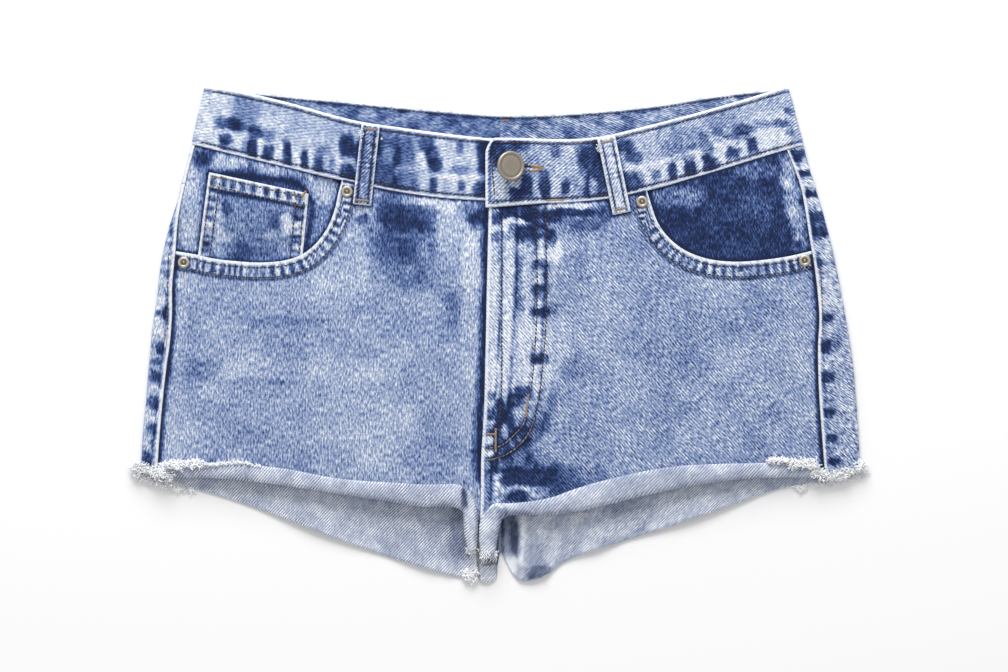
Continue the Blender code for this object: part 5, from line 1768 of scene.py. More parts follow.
def top_height(cloth: Cloth, x: np.ndarray, y: np.ndarray, part: slice | tuple | None = None) -> np.ndarray:
    """Height of a cloth's upper side at places: a weighted mean of its nearest points.

    Args:
        cloth: what to lie on.
        x, y: the places.
        part: the slice of its grid that counts, so that a layer over or under it is left out, or None for all.

    Returns:
        One height for each place.
    """
    upper = cloth.upper[... if part is None else part].reshape(-1, 3)
    flat_x, flat_y = np.ravel(x), np.ravel(y)
    found = np.zeros(len(flat_x))
    batch, count = 400, 6      # places at a time, and nearest points of each
    for start in range(0, len(flat_x), batch):
        some = slice(start, start + batch)
        gone = (flat_x[some, None] - upper[:, 0]) ** 2 + (flat_y[some, None] - upper[:, 1]) ** 2
        near = np.argpartition(gone, count, axis=1)[:, :count]
        weight = 1 / (np.take_along_axis(gone, near, 1) + 0.05)
        found[some] = (upper[near, 2] * weight).sum(1) / weight.sum(1)
    return found.reshape(np.shape(x))


@dataclass
class TurnedPiece:
    """A stamped and turned metal piece: a profile swept round its axis.

    Attributes:
        name: the node that it stands for.
        profile: rows of (radius, height, tint) from the crown to the foot, in millimetres.
        place: where height 0 is.
        tilt: how far the axis leans to +X, in degrees.
        steps: points round it.
    """

    name: str
    profile: tuple
    place: tuple[float, float, float]
    tilt: float = 0.0
    steps: int = 56

    def build(self, material: bpy.types.Material) -> bpy.types.Object:
        """Sweeps the profile, read smoothly: x = r cos a, y = r sin a, then leans the axis.

        Args:
            material: the metal.

        Returns:
            The piece's object.
        """
        rows = along(self.profile, np.linspace(0, 1, 6 * len(self.profile)))
        rows[:, 2] = np.clip(rows[:, 2], 0, 1)
        angle = np.linspace(0, 2 * np.pi, self.steps + 1)[:-1]
        radius = np.maximum(rows[:, 0], 0.0)
        x, y = radius[:, None] * np.cos(angle), radius[:, None] * np.sin(angle)
        z = rows[:, 1][:, None] + 0 * x
        lean = math.radians(self.tilt)
        points = np.stack([x * math.cos(lean) + z * math.sin(lean), y, z * math.cos(lean) - x * math.sin(lean)], -1)
        count, steps = points.shape[:2]
        index = np.arange(count * steps).reshape(count, steps)
        after = np.roll(index, -1, axis=1)
        quads = np.stack([index[:-1], index[1:], after[1:], after[:-1]], -1).reshape(-1, 4)
        obj = mesh_object(f"{self.name}_metal", points.reshape(-1, 3) + np.array(self.place), quads, material)
        give(obj, "tint", np.repeat(rows[:, 2], steps))
        mesh = bmesh.new()
        mesh.from_mesh(obj.data)
        bmesh.ops.remove_doubles(mesh, verts=mesh.verts, dist=1e-6)
        mesh.to_mesh(obj.data)
        mesh.free()
        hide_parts(self.name)
        return obj


@dataclass
class LooseThreads:
    """Curly yarn ends that stand out from a raw edge, and the fluff that lies along it.

    Attributes:
        name: the object's name.
        roots: (x, y, z) rows of the line that they start from.
        heading: first and last direction in degrees.
        count: how many.
        shortest, longest: their lengths.
        width: their thickness.
        seed: which curls.
        scatter: how far their starts stray from the line.
    """

    name: str
    roots: tuple
    heading: tuple[float, float]
    count: int
    shortest: float
    longest: float
    width: float = 0.55
    seed: int = 1
    scatter: float = 0.0

    SWELL = np.array([1.0, 1.0, 0.95, 0.9, 0.8, 0.6, 0.25])   # radii along a thread, in shares of the thickest
    AROUND = (0.0, 90.0, 180.0, 270.0)                        # a ring's points, in degrees

    def bodies(self) -> tuple[np.ndarray, np.ndarray, np.ndarray]:
        """Each thread as a thin four-sided tube along a curl: a heading that turns a random way as it goes.

        Returns:
            The points, the quads, and the tint at each point.
        """
        rng = np.random.default_rng(self.seed)
        shares = np.sort(rng.uniform(0, 1, self.count))
        start = along(self.roots, shares)
        start[:, :2] += rng.normal(0, 1, (self.count, 2)) * self.scatter
        length = rng.uniform(self.shortest, self.longest, self.count)
        heading = np.radians(np.interp(shares, [0, 1], self.heading) + rng.uniform(-38, 38, self.count))
        bend = np.radians(rng.uniform(-220, 220, self.count))
        wave = np.radians(rng.uniform(-75, 75, self.count))
        rings = len(self.SWELL)
        t = np.linspace(0, 1, rings)
        angle = heading[:, None] + bend[:, None] * t + wave[:, None] * np.sin(2 * np.pi * t)
        step = (length / (rings - 1))[:, None]
        x, y, z = (start[:, k:k + 1] for k in range(3))
        px = x + np.cumsum(np.cos(angle) * step, 1) - np.cos(angle) * step
        py = y + np.cumsum(np.sin(angle) * step, 1) - np.sin(angle) * step
        rise = rng.uniform(-0.5, 1.2, self.count)[:, None] * np.sin(np.pi * t)
        droop = 0.8 * t * z * rng.uniform(0, 1, self.count)[:, None]
        pz = np.maximum(z + rise - droop, self.width * 0.6)
        points, quads = tubes((px, py, pz), angle, self.width / 2 * self.SWELL, self.AROUND)
        return points, quads, np.repeat(rng.uniform(0.05, 0.8, self.count), rings * len(self.AROUND))


def thread_object(name: str, parts: list, material: bpy.types.Material) -> bpy.types.Object:
    """Joins thread bodies into one object with their tints.

    Args:
        name: the object's name.
        parts: what the bodies() methods return.
        material: the thread.

    Returns:
        The object.
    """
    points, quads, tints, base = [], [], [], 0
    for part_points, part_quads, part_tint in parts:
        points.append(part_points)
        quads.append(part_quads + base)
        tints.append(part_tint)
        base += len(part_points)
    obj = mesh_object(name, np.concatenate(points), np.concatenate(quads), material)
    give(obj, "tint", np.concatenate(tints))
    return obj


@dataclass
class Studio:
    """A pale table under soft light from the photograph's top, and a long lens straight above.

    Attributes:
        width: millimetres of the table across the picture.
        centre: the point under the middle of the picture, in the scene's millimetres.
        lens: focal length on a 36 mm wide sensor.
    """

    width: float = 655.2
    centre: tuple[float, float] = (2.3, -0.9)
    lens: float = 200.0

    def floor(self) -> None:
        """Lays a round, plain, matt white table top."""
        material, _, shader = blank_material("table_matt_white_paint", 0.9)
        shader.inputs["Base Color"].default_value = linear("EFEFF0")
        shader.inputs["Specular IOR Level"].default_value = 0.1
        turn = np.linspace(0, 2 * np.pi, 65)[:-1]
        mesh = bpy.data.meshes.new("table_top")
        ring = np.stack([2.2 * np.cos(turn), 2.2 * np.sin(turn), 0 * turn], -1)
        mesh.from_pydata(ring.tolist(), [], [tuple(range(64))])
        mesh.materials.append(material)
        obj = bpy.data.objects.new("table_top", mesh)
        bpy.context.scene.collection.objects.link(obj)

    def lights(self) -> None:
        """Hangs a wide soft box towards the waist, under an even sky."""
        world = bpy.data.worlds.new("soft_sky")
        bpy.context.scene.world = world
        world.use_nodes = True
        sky = world.node_tree.nodes["Background"]
        sky.inputs["Color"].default_value = linear("FFFFFF")
        sky.inputs["Strength"].default_value = 0.66
        data = bpy.data.lights.new("soft_box", "AREA")
        data.energy, data.size = 68.0, 1.3
        lamp = bpy.data.objects.new("soft_box", data)
        lamp.location = (-0.2, 2.05, 1.2)
        lamp.rotation_euler = (-lamp.location).to_track_quat("-Z", "Y").to_euler()
        bpy.context.scene.collection.objects.link(lamp)

    def camera(self) -> None:
        """Sets the camera straight above, its up direction towards the waist."""
        data = bpy.data.cameras.new("camera")
        data.lens, data.sensor_width = self.lens, 36.0
        data.clip_start, data.clip_end = 0.1, 20.0
        camera = bpy.data.objects.new("camera", data)
        camera.location = (self.centre[0] * MM, self.centre[1] * MM, self.width * MM * self.lens / 36.0)
        bpy.context.scene.collection.objects.link(camera)
        bpy.context.scene.camera = camera


# Lighter and darker places: left, right, top and bottom in the photograph's pixels, and what they add. Besides the
# wash's blotches they hold painted shade beside edges, seams, stitch rows and overlaps, and painted light on ridges
LEFT_FRONT_MARKS = (
    (372, 436, 196, 280, -0.17), (378, 400, 194, 226, -0.27), (398, 416, 200, 230, -0.21), (380, 420, 222, 262, -0.17),
    (400, 416, 242, 264, -0.12), (416, 435, 207, 232, -0.24), (430, 436, 222, 262, -0.16), (420, 430, 220, 240, -0.1),
    (396, 442, 199, 204, 0.26), (434, 478, 204, 212, 0.14), (414, 440, 262, 290, -0.15), (440, 458, 268, 305, -0.12),
    (446, 458, 290, 326, -0.12), (390, 412, 270, 290, -0.06), (456, 466, 204, 212, -0.24), (466, 476, 205, 222, -0.34),
    (470, 479, 216, 229, -0.26), (478, 488, 202, 221, -0.46), (481, 487, 220, 300, -0.3), (479, 486, 300, 360, -0.3),
    (476, 484, 360, 410, -0.32), (473, 482, 410, 480, -0.3), (484.5, 488, 205, 290, -0.4),
    (483, 486.5, 290, 360, -0.4), (481, 485, 360, 410, -0.4), (478, 482, 410, 480, -0.4), (463, 478, 228, 300, 0.15),
    (461, 477, 300, 385, 0.07), (359, 367, 215, 224, -0.3), (354, 377, 205, 214, 0.12), (368, 374, 226, 282, -0.09),
    (170, 330, 276, 300, 0.05), (174, 188, 300, 330, 0.12), (186, 220, 360, 380, -0.12), (400, 470, 440, 468, -0.05),
    (225, 300, 380, 384, -0.12), (240, 330, 318, 324, -0.1), (168, 172, 340, 380, -0.2), (338, 352, 215, 240, 0.08),
    (460, 478, 458, 480, 0.1),
)
RIGHT_FRONT_MARKS = (
    (553, 608, 208, 236, -0.13), (500, 565, 462, 492, -0.1), (488, 500, 213, 225, -0.35), (491, 500, 226, 231, 0.3),
    (490, 499, 232, 240, -0.36), (501, 531, 203, 219, -0.52), (514, 520, 208, 215, 0.3),
    (504, 524, 219.5, 223.5, 0.46), (503.5, 507, 222, 232, 0.4), (507.5, 514, 224, 231, -0.2),
    (505, 512, 230, 239, -0.2), (516, 534, 226, 240, -0.55), (519, 531, 220, 226, 0.14), (523, 532, 213, 220, -0.3),
    (529, 546, 203, 238, -0.38), (547, 555, 230, 245, -0.5), (546, 562, 208, 222, -0.42), (556, 600, 209, 216, -0.36),
    (548, 592, 203, 207.5, 0.4), (572, 602, 221, 232, -0.2), (600, 612, 204, 222, -0.24), (488, 498, 241, 425, 0.27),
    (503.5, 515, 236, 395, 0.27), (520, 532, 242, 392, 0.18), (519, 526, 256, 268, -0.22), (518, 524, 296, 312, -0.25),
    (517.5, 521.5, 268, 300, -0.1), (546, 560, 240, 262, 0.27), (548, 556, 262, 305, 0.1), (543, 551, 330, 392, 0.13),
    (537, 543, 242, 260, 0.36), (535, 542, 268, 284, 0.34), (534, 541, 297, 307, 0.18), (533, 547, 285, 295, -0.32),
    (531, 549, 308, 317, -0.42), (532, 540, 262, 270, -0.24), (541, 548, 262, 282, -0.26), (533, 540, 318, 350, 0.24),
    (531, 549, 353, 363, -0.46), (532, 539, 367, 392, 0.24), (528, 540, 238, 250, -0.16), (552, 557, 305, 313, -0.2),
    (488, 495, 392, 399, -0.44), (486, 494, 408, 419, -0.54), (484, 494, 419.5, 424, 0.24),
    (485.5, 497, 424, 472, -0.55), (487, 492, 427.5, 431, 0.5), (487, 492, 437, 445, 0.66),
    (486.5, 492, 450, 457, 0.7), (485, 490, 461, 468, 0.5), (496, 504, 400, 425, -0.58), (512, 531, 388, 397, -0.5),
    (508, 524, 396, 405, -0.44), (506, 513, 404, 425, -0.4), (515, 523, 405, 417, 0.06), (503, 507, 425, 438, 0.35),
    (500, 531, 424, 458, -0.36), (524, 531, 419, 430, -0.24), (548, 556, 395, 412, -0.22), (542, 550, 412, 432, -0.32),
    (534, 542, 422, 440, -0.3), (524, 533, 437, 446, -0.24), (500, 514, 453, 466, -0.22), (514, 525, 449, 459, 0.18),
    (524, 536, 457, 465, -0.16), (498, 552, 467, 485, -0.42), (550, 578, 464, 494, -0.22), (575, 606, 466, 488, -0.12),
    (484, 489, 474, 479, 0.34), (493, 500, 474, 478, 0.44), (484, 489, 485, 493, 0.36), (506, 528, 492, 501, -0.46),
    (560, 600, 355, 385, -0.05), (600, 645, 232, 262, -0.05), (790, 822, 330, 460, 0.04), (560, 575, 360, 380, -0.08),
    (655, 690, 270, 290, -0.08),
)
LEFT_SIDE_MARKS = (
    (140, 176, 250, 470, 0.1), (157, 165, 310, 317, -0.42), (164, 169, 307, 320, -0.4), (158, 164, 344, 353, -0.52),
    (152, 157, 342, 350, -0.2), (152, 162, 359, 364, -0.42), (151, 162, 370, 384, -0.46), (149, 158, 396, 408, -0.52),
    (148, 156, 425, 434, -0.46), (150, 153, 440, 446, -0.3), (143, 153, 452, 463, -0.52), (160, 166, 262, 272, -0.14),
)
RIGHT_SIDE_MARKS = (
    (787, 804, 151, 160, -0.45), (793, 808, 161, 171, 0.24), (798, 811, 171, 177, -0.52), (800, 817, 178, 191, 0.3),
    (805, 818, 192, 198, -0.5), (808, 822, 199, 210, 0.2), (807, 827, 211, 238, -0.5), (812, 832, 240, 258, 0.12),
    (813, 822, 258, 266, -0.42), (817, 832, 268, 310, 0.12), (822, 832, 313, 321, -0.44), (818, 829, 341, 352, -0.55),
    (828, 839, 336, 350, -0.26), (820, 834, 371, 382, -0.46), (826, 834, 398, 404, -0.2), (825, 834, 408, 416, -0.5),
    (834, 843, 411, 415, -0.22), (827, 836, 434, 443, -0.46), (830, 839, 457, 465, -0.52), (822, 832, 322, 338, 0.1),
)
# Marks of the rolled hems: mostly painted light on their rounded tops and painted shade at their sides and in the
# pinch, with whiter frayed ends.
LEFT_ROLL_MARKS = (
    (462, 466, 489, 507, -0.42), (468, 473, 494, 545, 0.1), (476, 481, 505, 548, -0.2), (468, 478, 545, 556, 0.22),
    (440, 460, 498, 510, -0.12), (170, 185, 470, 480, -0.1),
)
RIGHT_ROLL_MARKS = (
    (484, 489, 514, 548, 0.1), (498, 503, 514, 552, -0.2), (482, 498, 546, 556, 0.22), (498, 514, 503, 507, 0.16),
    (500, 530, 511, 517, -0.16), (483, 490, 508, 513, -0.12),
)
LEFT_ROLL_FOLDS = ((((463, 487), (464, 496), (468, 507)), -0.9, 0.8, -0.3), (((471, 500), (474, 530)), 0.4, 1.8, 0.06))
RIGHT_ROLL_FOLDS = (
    (((497, 514), (494, 530), (491, 546)), 0.4, 2.0, 0.06), (((502, 504), (506, 510), (505, 515)), -0.5, 0.8, -0.2),
    (((489, 506), (496, 504), (503, 507)), 0.3, 0.8, 0.2),
    (((480, 555.5), (489, 554.5), (498, 552.5)), 0.0, 1.5, -0.35),
)
# Inside the back legs by the crotch: painted shade in the hollows, painted light on fold ridges, and lighter and
# darker places of the overlocked end.
LEFT_BACK_MARKS = (
    (449, 466, 500, 562, -0.2), (432, 466, 520, 566, -0.06), (470, 480, 556, 576, 0.1),
)
RIGHT_BACK_MARKS = (
    (499, 519, 511, 556, -0.24), (511, 519.5, 524, 558, -0.36), (519.5, 524, 516, 574, 0.16),
    (503, 516, 557, 573, 0.5), (530, 551, 567, 578, -0.4), (480, 497, 558.5, 563.5, -0.3), (521, 543, 534, 575, -0.17),
    (481, 497, 567, 584, 0.08), (507, 516, 553, 572, 0.36), (560, 640, 505, 512, -0.1),
)
LEFT_FACING_MARKS = (
    (196, 213, 152, 165, -0.36), (214, 240, 157, 167, 0.22), (240, 300, 161, 174, 0.14), (248, 258, 164, 174, -0.2),
    (222, 262, 170, 181, -0.28), (255, 302, 178, 191, -0.28), (310, 337, 176, 205, 0.18), (182, 199, 162, 250, 0.22),
    (308, 318, 200, 246, -0.08),
)
RIGHT_FACING_MARKS = (
    (654, 702, 190, 206, 0.26), (668, 700, 212, 244, -0.08), (735, 776, 165, 178, 0.2), (720, 772, 188, 226, 0.06),
    (781, 794, 158, 188, 0.44), (785, 798, 182, 216, 0.4), (789, 803, 208, 238, 0.34), (792, 806, 236, 251, 0.34),
    (795, 801, 242, 248, -0.34), (787, 792, 226, 252, -0.16),
)
COIN_MARKS = (
    (215, 222, 204, 230, 0.2), (214, 235, 232, 256, 0.22), (281, 291, 216, 234, 0.34), (266, 277, 230, 241, 0.14),
    (280, 289, 240, 254, 0.14), (222, 231, 202, 214, -0.22), (268, 282, 214, 228, -0.16), (225, 252, 243, 260, -0.22),
    (204, 212, 222, 230, 0.3), (203, 210, 206, 218, -0.14), (203, 209, 240, 248, -0.3), (294, 301, 224, 233, 0.3),
    (293, 301, 235, 242, -0.3), (293, 302, 243, 250, 0.16), (292, 304, 212, 222, -0.24), (252, 275, 244, 258, -0.1),
)
LEFT_BAND_MARKS = (
    (196, 240, 90, 119, 0.14), (192, 246, 120, 150, 0.18), (233, 258, 98, 134, -0.22), (216, 240, 119, 130, -0.56),
    (228, 246, 122, 131, -0.22), (248, 262, 127, 138, -0.38), (262, 274, 130, 141, -0.2), (220, 233, 135, 143, -0.55),
    (220, 226, 140, 152, -0.3), (226, 236, 142, 152, -0.14), (242, 249, 141, 152, -0.2), (249, 257, 139, 158, -0.62),
    (263, 273, 147, 160, -0.52), (283, 291, 142, 165, -0.5), (302, 308, 152, 168, -0.46), (314, 322, 156, 172, -0.42),
    (318, 330, 147, 154, -0.22), (330, 335, 158, 172, -0.26), (341, 353, 134, 157, -0.56), (340, 354, 166, 182, -0.56),
    (353, 364, 144, 162, -0.44), (257, 263, 140, 156, 0.2), (274, 282, 142, 162, 0.22), (292, 301, 145, 166, 0.22),
    (309, 314, 150, 170, 0.18), (335, 341, 150, 176, 0.16), (236, 242, 136, 152, 0.14), (262, 292, 115, 128, 0.12),
    (378, 397, 132, 192, -0.44), (396, 416, 133, 166, -0.34), (384, 392, 148, 163, 0.22), (396, 418, 172, 192, -0.34),
    (419, 434, 137, 150, -0.44), (427, 438, 149, 162, -0.46), (430, 441, 160, 173, -0.56), (437, 478, 138, 176, 0.12),
    (457, 463, 142, 154, -0.38), (452, 469, 167, 174, -0.3), (418, 480, 180, 196, 0.08), (431, 437, 179, 192, -0.54),
    (459, 464, 180, 191, -0.48), (478, 488, 141, 176, -0.56), (475, 488, 182, 197, -0.5),
)
RIGHT_BAND_MARKS = (
    (490, 600, 146, 196, -0.1), (492, 504, 142, 168, -0.5), (491, 505, 171, 196, 0.1), (505, 526, 142, 152, -0.34),
    (528, 578, 142, 178, 0.12), (551, 559, 147, 157, -0.34), (526, 540, 157, 164, -0.18), (510, 520, 189, 198, -0.48),
    (521, 531, 176, 198, -0.58), (513, 520, 181, 188, 0.2), (540, 550, 181, 197, -0.56), (539, 548, 172, 179, -0.36),
    (562, 569, 181, 195, -0.44), (551, 561, 180, 198, 0.12), (579, 601, 142, 176, -0.5), (584, 606, 176, 198, -0.46),
    (590, 596, 178, 197, 0.36), (618, 631, 140, 152, -0.5), (626, 641, 152, 162, -0.4), (623, 640, 173, 189, -0.5),
    (652, 660, 172, 179, -0.3), (664, 670, 160, 180, 0.24), (669, 676, 163, 179, -0.56), (684, 695, 160, 176, -0.56),
    (677, 683, 160, 176, 0.26), (696, 702, 152, 172, 0.3), (703, 719, 156, 172, -0.56), (716, 725, 146, 165, 0.3),
    (727, 740, 148, 158, -0.54), (739, 746, 142, 158, 0.26), (747, 757, 140, 153, -0.58), (758, 786, 130, 150, 0.26),
    (665, 690, 142, 158, -0.2), (672, 700, 128, 140, -0.14), (699, 707, 134, 141, -0.34), (690, 712, 143, 151, -0.34),
    (713, 722, 128, 134, -0.28), (734, 754, 126, 134, -0.42), (724, 750, 134, 140, -0.3), (757, 768, 122, 129, -0.22),
    (772, 790, 121, 127, -0.42), (784, 791, 109, 115, -0.3), (786, 793, 130, 136, -0.26), (756, 790, 113, 121, 0.14),
    (700, 735, 108, 124, -0.1),
)
# Creases: their line in the photograph's pixels, height and half width in millimetres, and the painted light and shade
# that they add to the wash
LEFT_FRONT_CREASES = (
    (((458, 474), (462, 466), (466, 463)), 0.2, 1.0, 0.16), (((470, 491), (478, 484)), 0.3, 0.9, 0.3),
    (((340, 290), (380, 330), (430, 350)), 0.3, 9.0, 0.0), (((190, 300), (240, 360), (260, 430)), 0.3, 10.0, 0.0),
    (((476, 230), (474, 300), (470, 380)), 0.3, 5.0, 0.0),
)
RIGHT_FRONT_CREASES = (
    (((497, 484), (504, 491), (516, 486.5), (528, 490), (537, 497)), 0.8, 1.8, 0.36),
    (((497, 479), (496.5, 505)), 0.5, 1.6, 0.32), (((500, 470.5), (520, 471), (542, 470)), -0.6, 1.1, -0.14),
    (((491, 458), (491, 485), (491, 512)), -0.5, 0.9, -0.36), (((498, 456), (503, 466), (508, 469)), 0.2, 0.7, 0.3),
    (((511, 453), (515, 459), (513, 467)), 0.2, 0.7, 0.26), (((590, 280), (640, 330), (660, 400)), 0.35, 11.0, 0.0),
    (((800, 300), (770, 360), (765, 430)), 0.35, 11.0, 0.0), (((560, 240), (565, 320), (556, 400)), 0.25, 5.0, 0.03),
    (((534.5, 417), (532, 426), (521, 443), (505, 455), (486, 460.5)), -0.15, 1.4, -0.42),
    (((525.5, 418), (524, 422), (513, 436), (500, 446), (485, 448.5)), -0.15, 1.4, -0.42),
    (((486, 431), (496, 430)), -0.1, 1.3, -0.6), (((498, 424), (497.5, 440), (497, 462)), -0.1, 1.0, -0.5),
    (((489, 440.5), (492.5, 440)), 0.2, 1.6, 0.5), (((489, 454), (492.5, 453.5)), 0.2, 1.4, 0.5),
    (((510, 440), (513, 446)), 0.0, 1.0, 0.5), (((517, 436), (520, 441)), 0.0, 1.0, 0.4),
)
LEFT_BAND_CREASES = (
    (((196, 110), (206, 119), (222, 131), (240, 134), (262, 142)), 0.35, 1.6, 0.2),
    (((413, 136), (418, 150), (424, 163), (434, 175), (452, 178), (470, 178), (485, 178)), 0.4, 1.9, 0.24),
    (((260, 122), (300, 140), (338, 146)), 0.25, 4.0, 0.04),
)
RIGHT_BAND_CREASES = (
    (((622, 173), (640, 168), (660, 163), (676, 158), (694, 152)), 0.4, 1.9, 0.26),
    (((694, 152), (714, 147), (738, 140), (758, 132), (788, 127)), 0.3, 1.8, 0.2),
    (((584, 178), (588, 172), (590, 150)), 0.3, 1.2, 0.12),
)


FLUFF = (  # name, root line in the photograph's pixels with heights, headings, threads, shortest, longest, scatter
    ("left_roll_end", ((467, 549, 8.0), (472, 551, 7.5), (476, 548, 8.0)), (150, 330), 34, 1.6, 4.0, 0.6),
    ("left_inseam", ((466, 573, 3.0), (470, 575, 3.2), (473, 577, 2.5)), (0, 340), 230, 1.2, 3.0, 1.5),
    ("left_inseam_end", ((475, 566, 4.0), (477, 573, 3.5)), (200, 300), 60, 1.5, 3.4, 0.7),
    ("right_roll_end", ((483, 554, 9.0), (489, 553, 9.0), (496, 552, 8.5)), (180, 350), 50, 1.4, 3.2, 0.7),
    ("left_loop_tail", ((361.6, 131, 12.5), (362, 140, 12.3)), (250, 290), 7, 2.4, 4.4, 0.2),
    ("left_loop_end", ((381.3, 138, 12.5), (381.6, 141, 12.3)), (290, 330), 3, 1.4, 2.4, 0.2),
    ("right_loop_tail", ((598.6, 144, 12.5), (598.2, 152, 12.3)), (240, 280), 7, 2.2, 3.8, 0.2),
    ("left_foot", ((137, 467, 5.0), (145, 467, 6.5), (153, 468, 6.8)), (170, 300), 190, 2.0, 4.5, 1.7),
    ("left_tip", ((134, 468, 4.0), (141, 474, 3.0), (150, 479, 2.4)), (180, 280), 80, 2.0, 4.5, 1.2),
    ("left_knot", ((155, 475, 6.8), (163, 474, 8.0), (171, 476, 8.0)), (0, 340), 240, 1.6, 3.4, 1.6),
    ("left_tuft", ((170, 466, 9.4), (177, 465, 9.8), (184, 467, 9.8)), (30, 190), 210, 1.6, 3.6, 1.3),
    ("left_edge", ((188, 464, 10.2), (196, 465, 10.4), (206, 464, 10.4)), (20, 200), 190, 1.6, 3.6, 1.2),
    ("left_fuzz", ((206, 465, 10.6), (219, 464, 10.6), (240, 463, 10.6), (262, 466, 10.6)), (40, 150), 90, 1.6, 3.4,
     0.5),
    ("left_hem", ((150, 481, 2.0), (166, 484, 1.8), (178, 487, 1.5), (192, 490, 1.2)), (200, 320), 110, 1.6, 4.2, 0.9),
    ("right_tip", ((861, 464, 5.0), (856, 468, 5.5), (848, 471, 6.0)), (60, -100), 120, 2.0, 4.6, 1.2),
    ("right_foot", ((845, 472, 6.0), (836, 473, 6.6), (826, 474, 7.0)), (-40, -140), 200, 2.0, 4.4, 1.7),
    ("right_knot", ((822, 475, 6.5), (816, 473, 7.5), (812, 468, 8.5)), (0, 330), 170, 1.6, 3.6, 1.7),
    ("right_edge", ((815, 466, 9.0), (802, 464, 9.6), (790, 464, 10.2)), (30, 200), 260, 1.8, 4.0, 1.5),
    ("right_fuzz", ((788, 462, 10.4), (778, 461, 10.6), (768, 462, 10.6)), (50, 140), 110, 1.8, 4.2, 0.8),
    ("right_hem", ((842, 477, 3.0), (828, 481, 2.0), (814, 484, 1.6)), (220, 320), 80, 1.6, 4.0, 0.9),
    ("right_point", ((806, 485, 1.5), (801, 487, 1.4), (797, 486, 1.4)), (230, 300), 60, 2.0, 4.8, 1.0),
)


BUTTON_FORM = (  # radius, height over the underside of the cap, tint
    (0.0, 2.02, 0.5), (3.0, 2.0, 0.5), (6.4, 1.92, 0.45), (7.3, 1.72, 0.1), (7.8, 1.95, 0.5), (8.4, 2.26, 0.9),
    (9.0, 2.2, 0.8), (9.5, 1.8, 0.5), (9.7, 1.2, 0.3), (9.5, 0.4, 0.2), (8.6, 0.0, 0.2), (3.2, 0.0, 0.1),
    (2.5, -0.8, 0.2), (2.3, -4.5, 0.2), (2.6, -7.4, 0.2), (2.6, -8.2, 0.2), (0.0, -8.2, 0.2),
)
RIVET_FORM = (  # radius, height, tint
    (0.0, 0.62, 0.25), (0.6, 0.6, 0.25), (1.0, 0.3, 0.05), (1.25, -0.05, 0.0), (1.55, -0.05, 0.0), (1.9, 0.35, 0.35),
    (2.4, 0.58, 0.85), (3.0, 0.56, 0.9), (3.5, 0.35, 0.7), (3.8, -0.05, 0.4), (3.8, -0.5, 0.2), (0.0, -0.5, 0.2),
)


def beside(line: np.ndarray, shift: float, first: float = 0.0, last: float = 1.0) -> np.ndarray:
    """A line moved to its right-hand side, between two shares of its length.

    Args:
        line: (x, y) rows.
        shift: by how many millimetres.
        first, last: the shares.

    Returns:
        Points of the moved line.
    """
    points = along(line, np.linspace(first, last, 60))[:, :2]
    ahead = np.gradient(points, axis=0)
    ahead /= np.linalg.norm(ahead, axis=1, keepdims=True)
    return points + np.stack([ahead[:, 1], -ahead[:, 0]], -1) * shift


def bar_tack(ends: np.ndarray, cloth: Cloth, width: float, tint: float,
             part: slice | tuple | None = None) -> StitchRow:
    """A bar tack: thread laid closely across a short line.

    Args:
        ends: (x, y) of both ends.
        cloth, tint, part: as in StitchRow.
        width: across the tack.

    Returns:
        The row.
    """
    return StitchRow(np.linspace(*ends, 8), cloth, tint, 0.5, width, 0.55, 82.0, 0.05, part)


FLY_ROWS = (  # points in the photo, and the thread's tint
    (((501.8, 206), (501.8, 330), (501, 400), (498, 432)), 0.1),
    (((545.4, 206), (545.4, 330), (542, 371), (538, 402), (534.5, 417)), 0.15),
    (((534.5, 417), (532, 426), (521, 443), (505, 455), (486, 460.5)), 0.42),
    (((536, 206), (536, 330), (533, 371), (531, 392)), 0.15),
    (((525.5, 418), (524, 422), (513, 436), (500, 446), (485, 448.5)), 0.42),
)
OUTSEAM_ROWS = (  # half, points in the photo, tint
    (Side.LEFT, ((169.4, 252), (168.6, 275), (168.2, 300), (168.4, 330)), 0.25),
    (Side.LEFT, ((165.2, 332), (164.6, 344)), 0.75),
    (Side.RIGHT, ((819.5, 262), (821.6, 300), (822.4, 336)), 0.3),
    (Side.RIGHT, ((803.5, 186.5), (809.5, 188.5)), 0.4),
)
TACKS = (  # what it is on, its ends in the photo, tint, width
    ("fly", (528.5, 394), (525.5, 417), 0.74, 1.5), ("fly", (487, 434), (495, 434), 0.7, 1.7),
    ("fly", (495.7, 428), (495.7, 452), 0.66, 1.6), ("fly", (487, 459.5), (495, 459), 0.5, 1.5),
    ("band", (531, 166.0), (542.5, 168.2), 0.8, 1.7), ("band", (531, 171.6), (542.5, 169.6), 0.8, 1.7),
    ("band", (523, 165.8), (531, 166.4), 0.3, 0.9), ("band", (523, 171.6), (531, 171.2), 0.3, 0.9),
    ("inside", (501, 118.0), (509, 117.8), 0.25, 0.9), ("inside", (501, 120.6), (509, 120.4), 0.75, 1.1),
    ("band", (546, 200.6), (565, 199.6), 0.72, 1.0),
    ("coin", (211.5, 177.6), (217, 178.8), 0.5, 1.3), ("coin", (221, 177.0), (226.5, 178.4), 0.5, 1.3),
    ("coin", (294.6, 191.5), (296.6, 199.5), 0.4, 1.5), ("coin", (302.6, 197), (306.6, 191), 0.8, 1.6),
)
OVERLOCK_ROWS = (  # height in the photo, the stitches' turn in degrees, and what it is on
    (553.0, 62.0, "front"), (555.5, -58.0, "front"), (557.5, 64.0, "front"), (559.5, -60.0, "back"),
    (561.5, 58.0, "back"),
)
ON_PANEL, ON_ROLL = np.s_[:Front.rows], np.s_[Front.rows:]     # slices of a front's grid
Piece = Front | Back | PocketFacing | CoinPocket | Waistband | BeltLoop


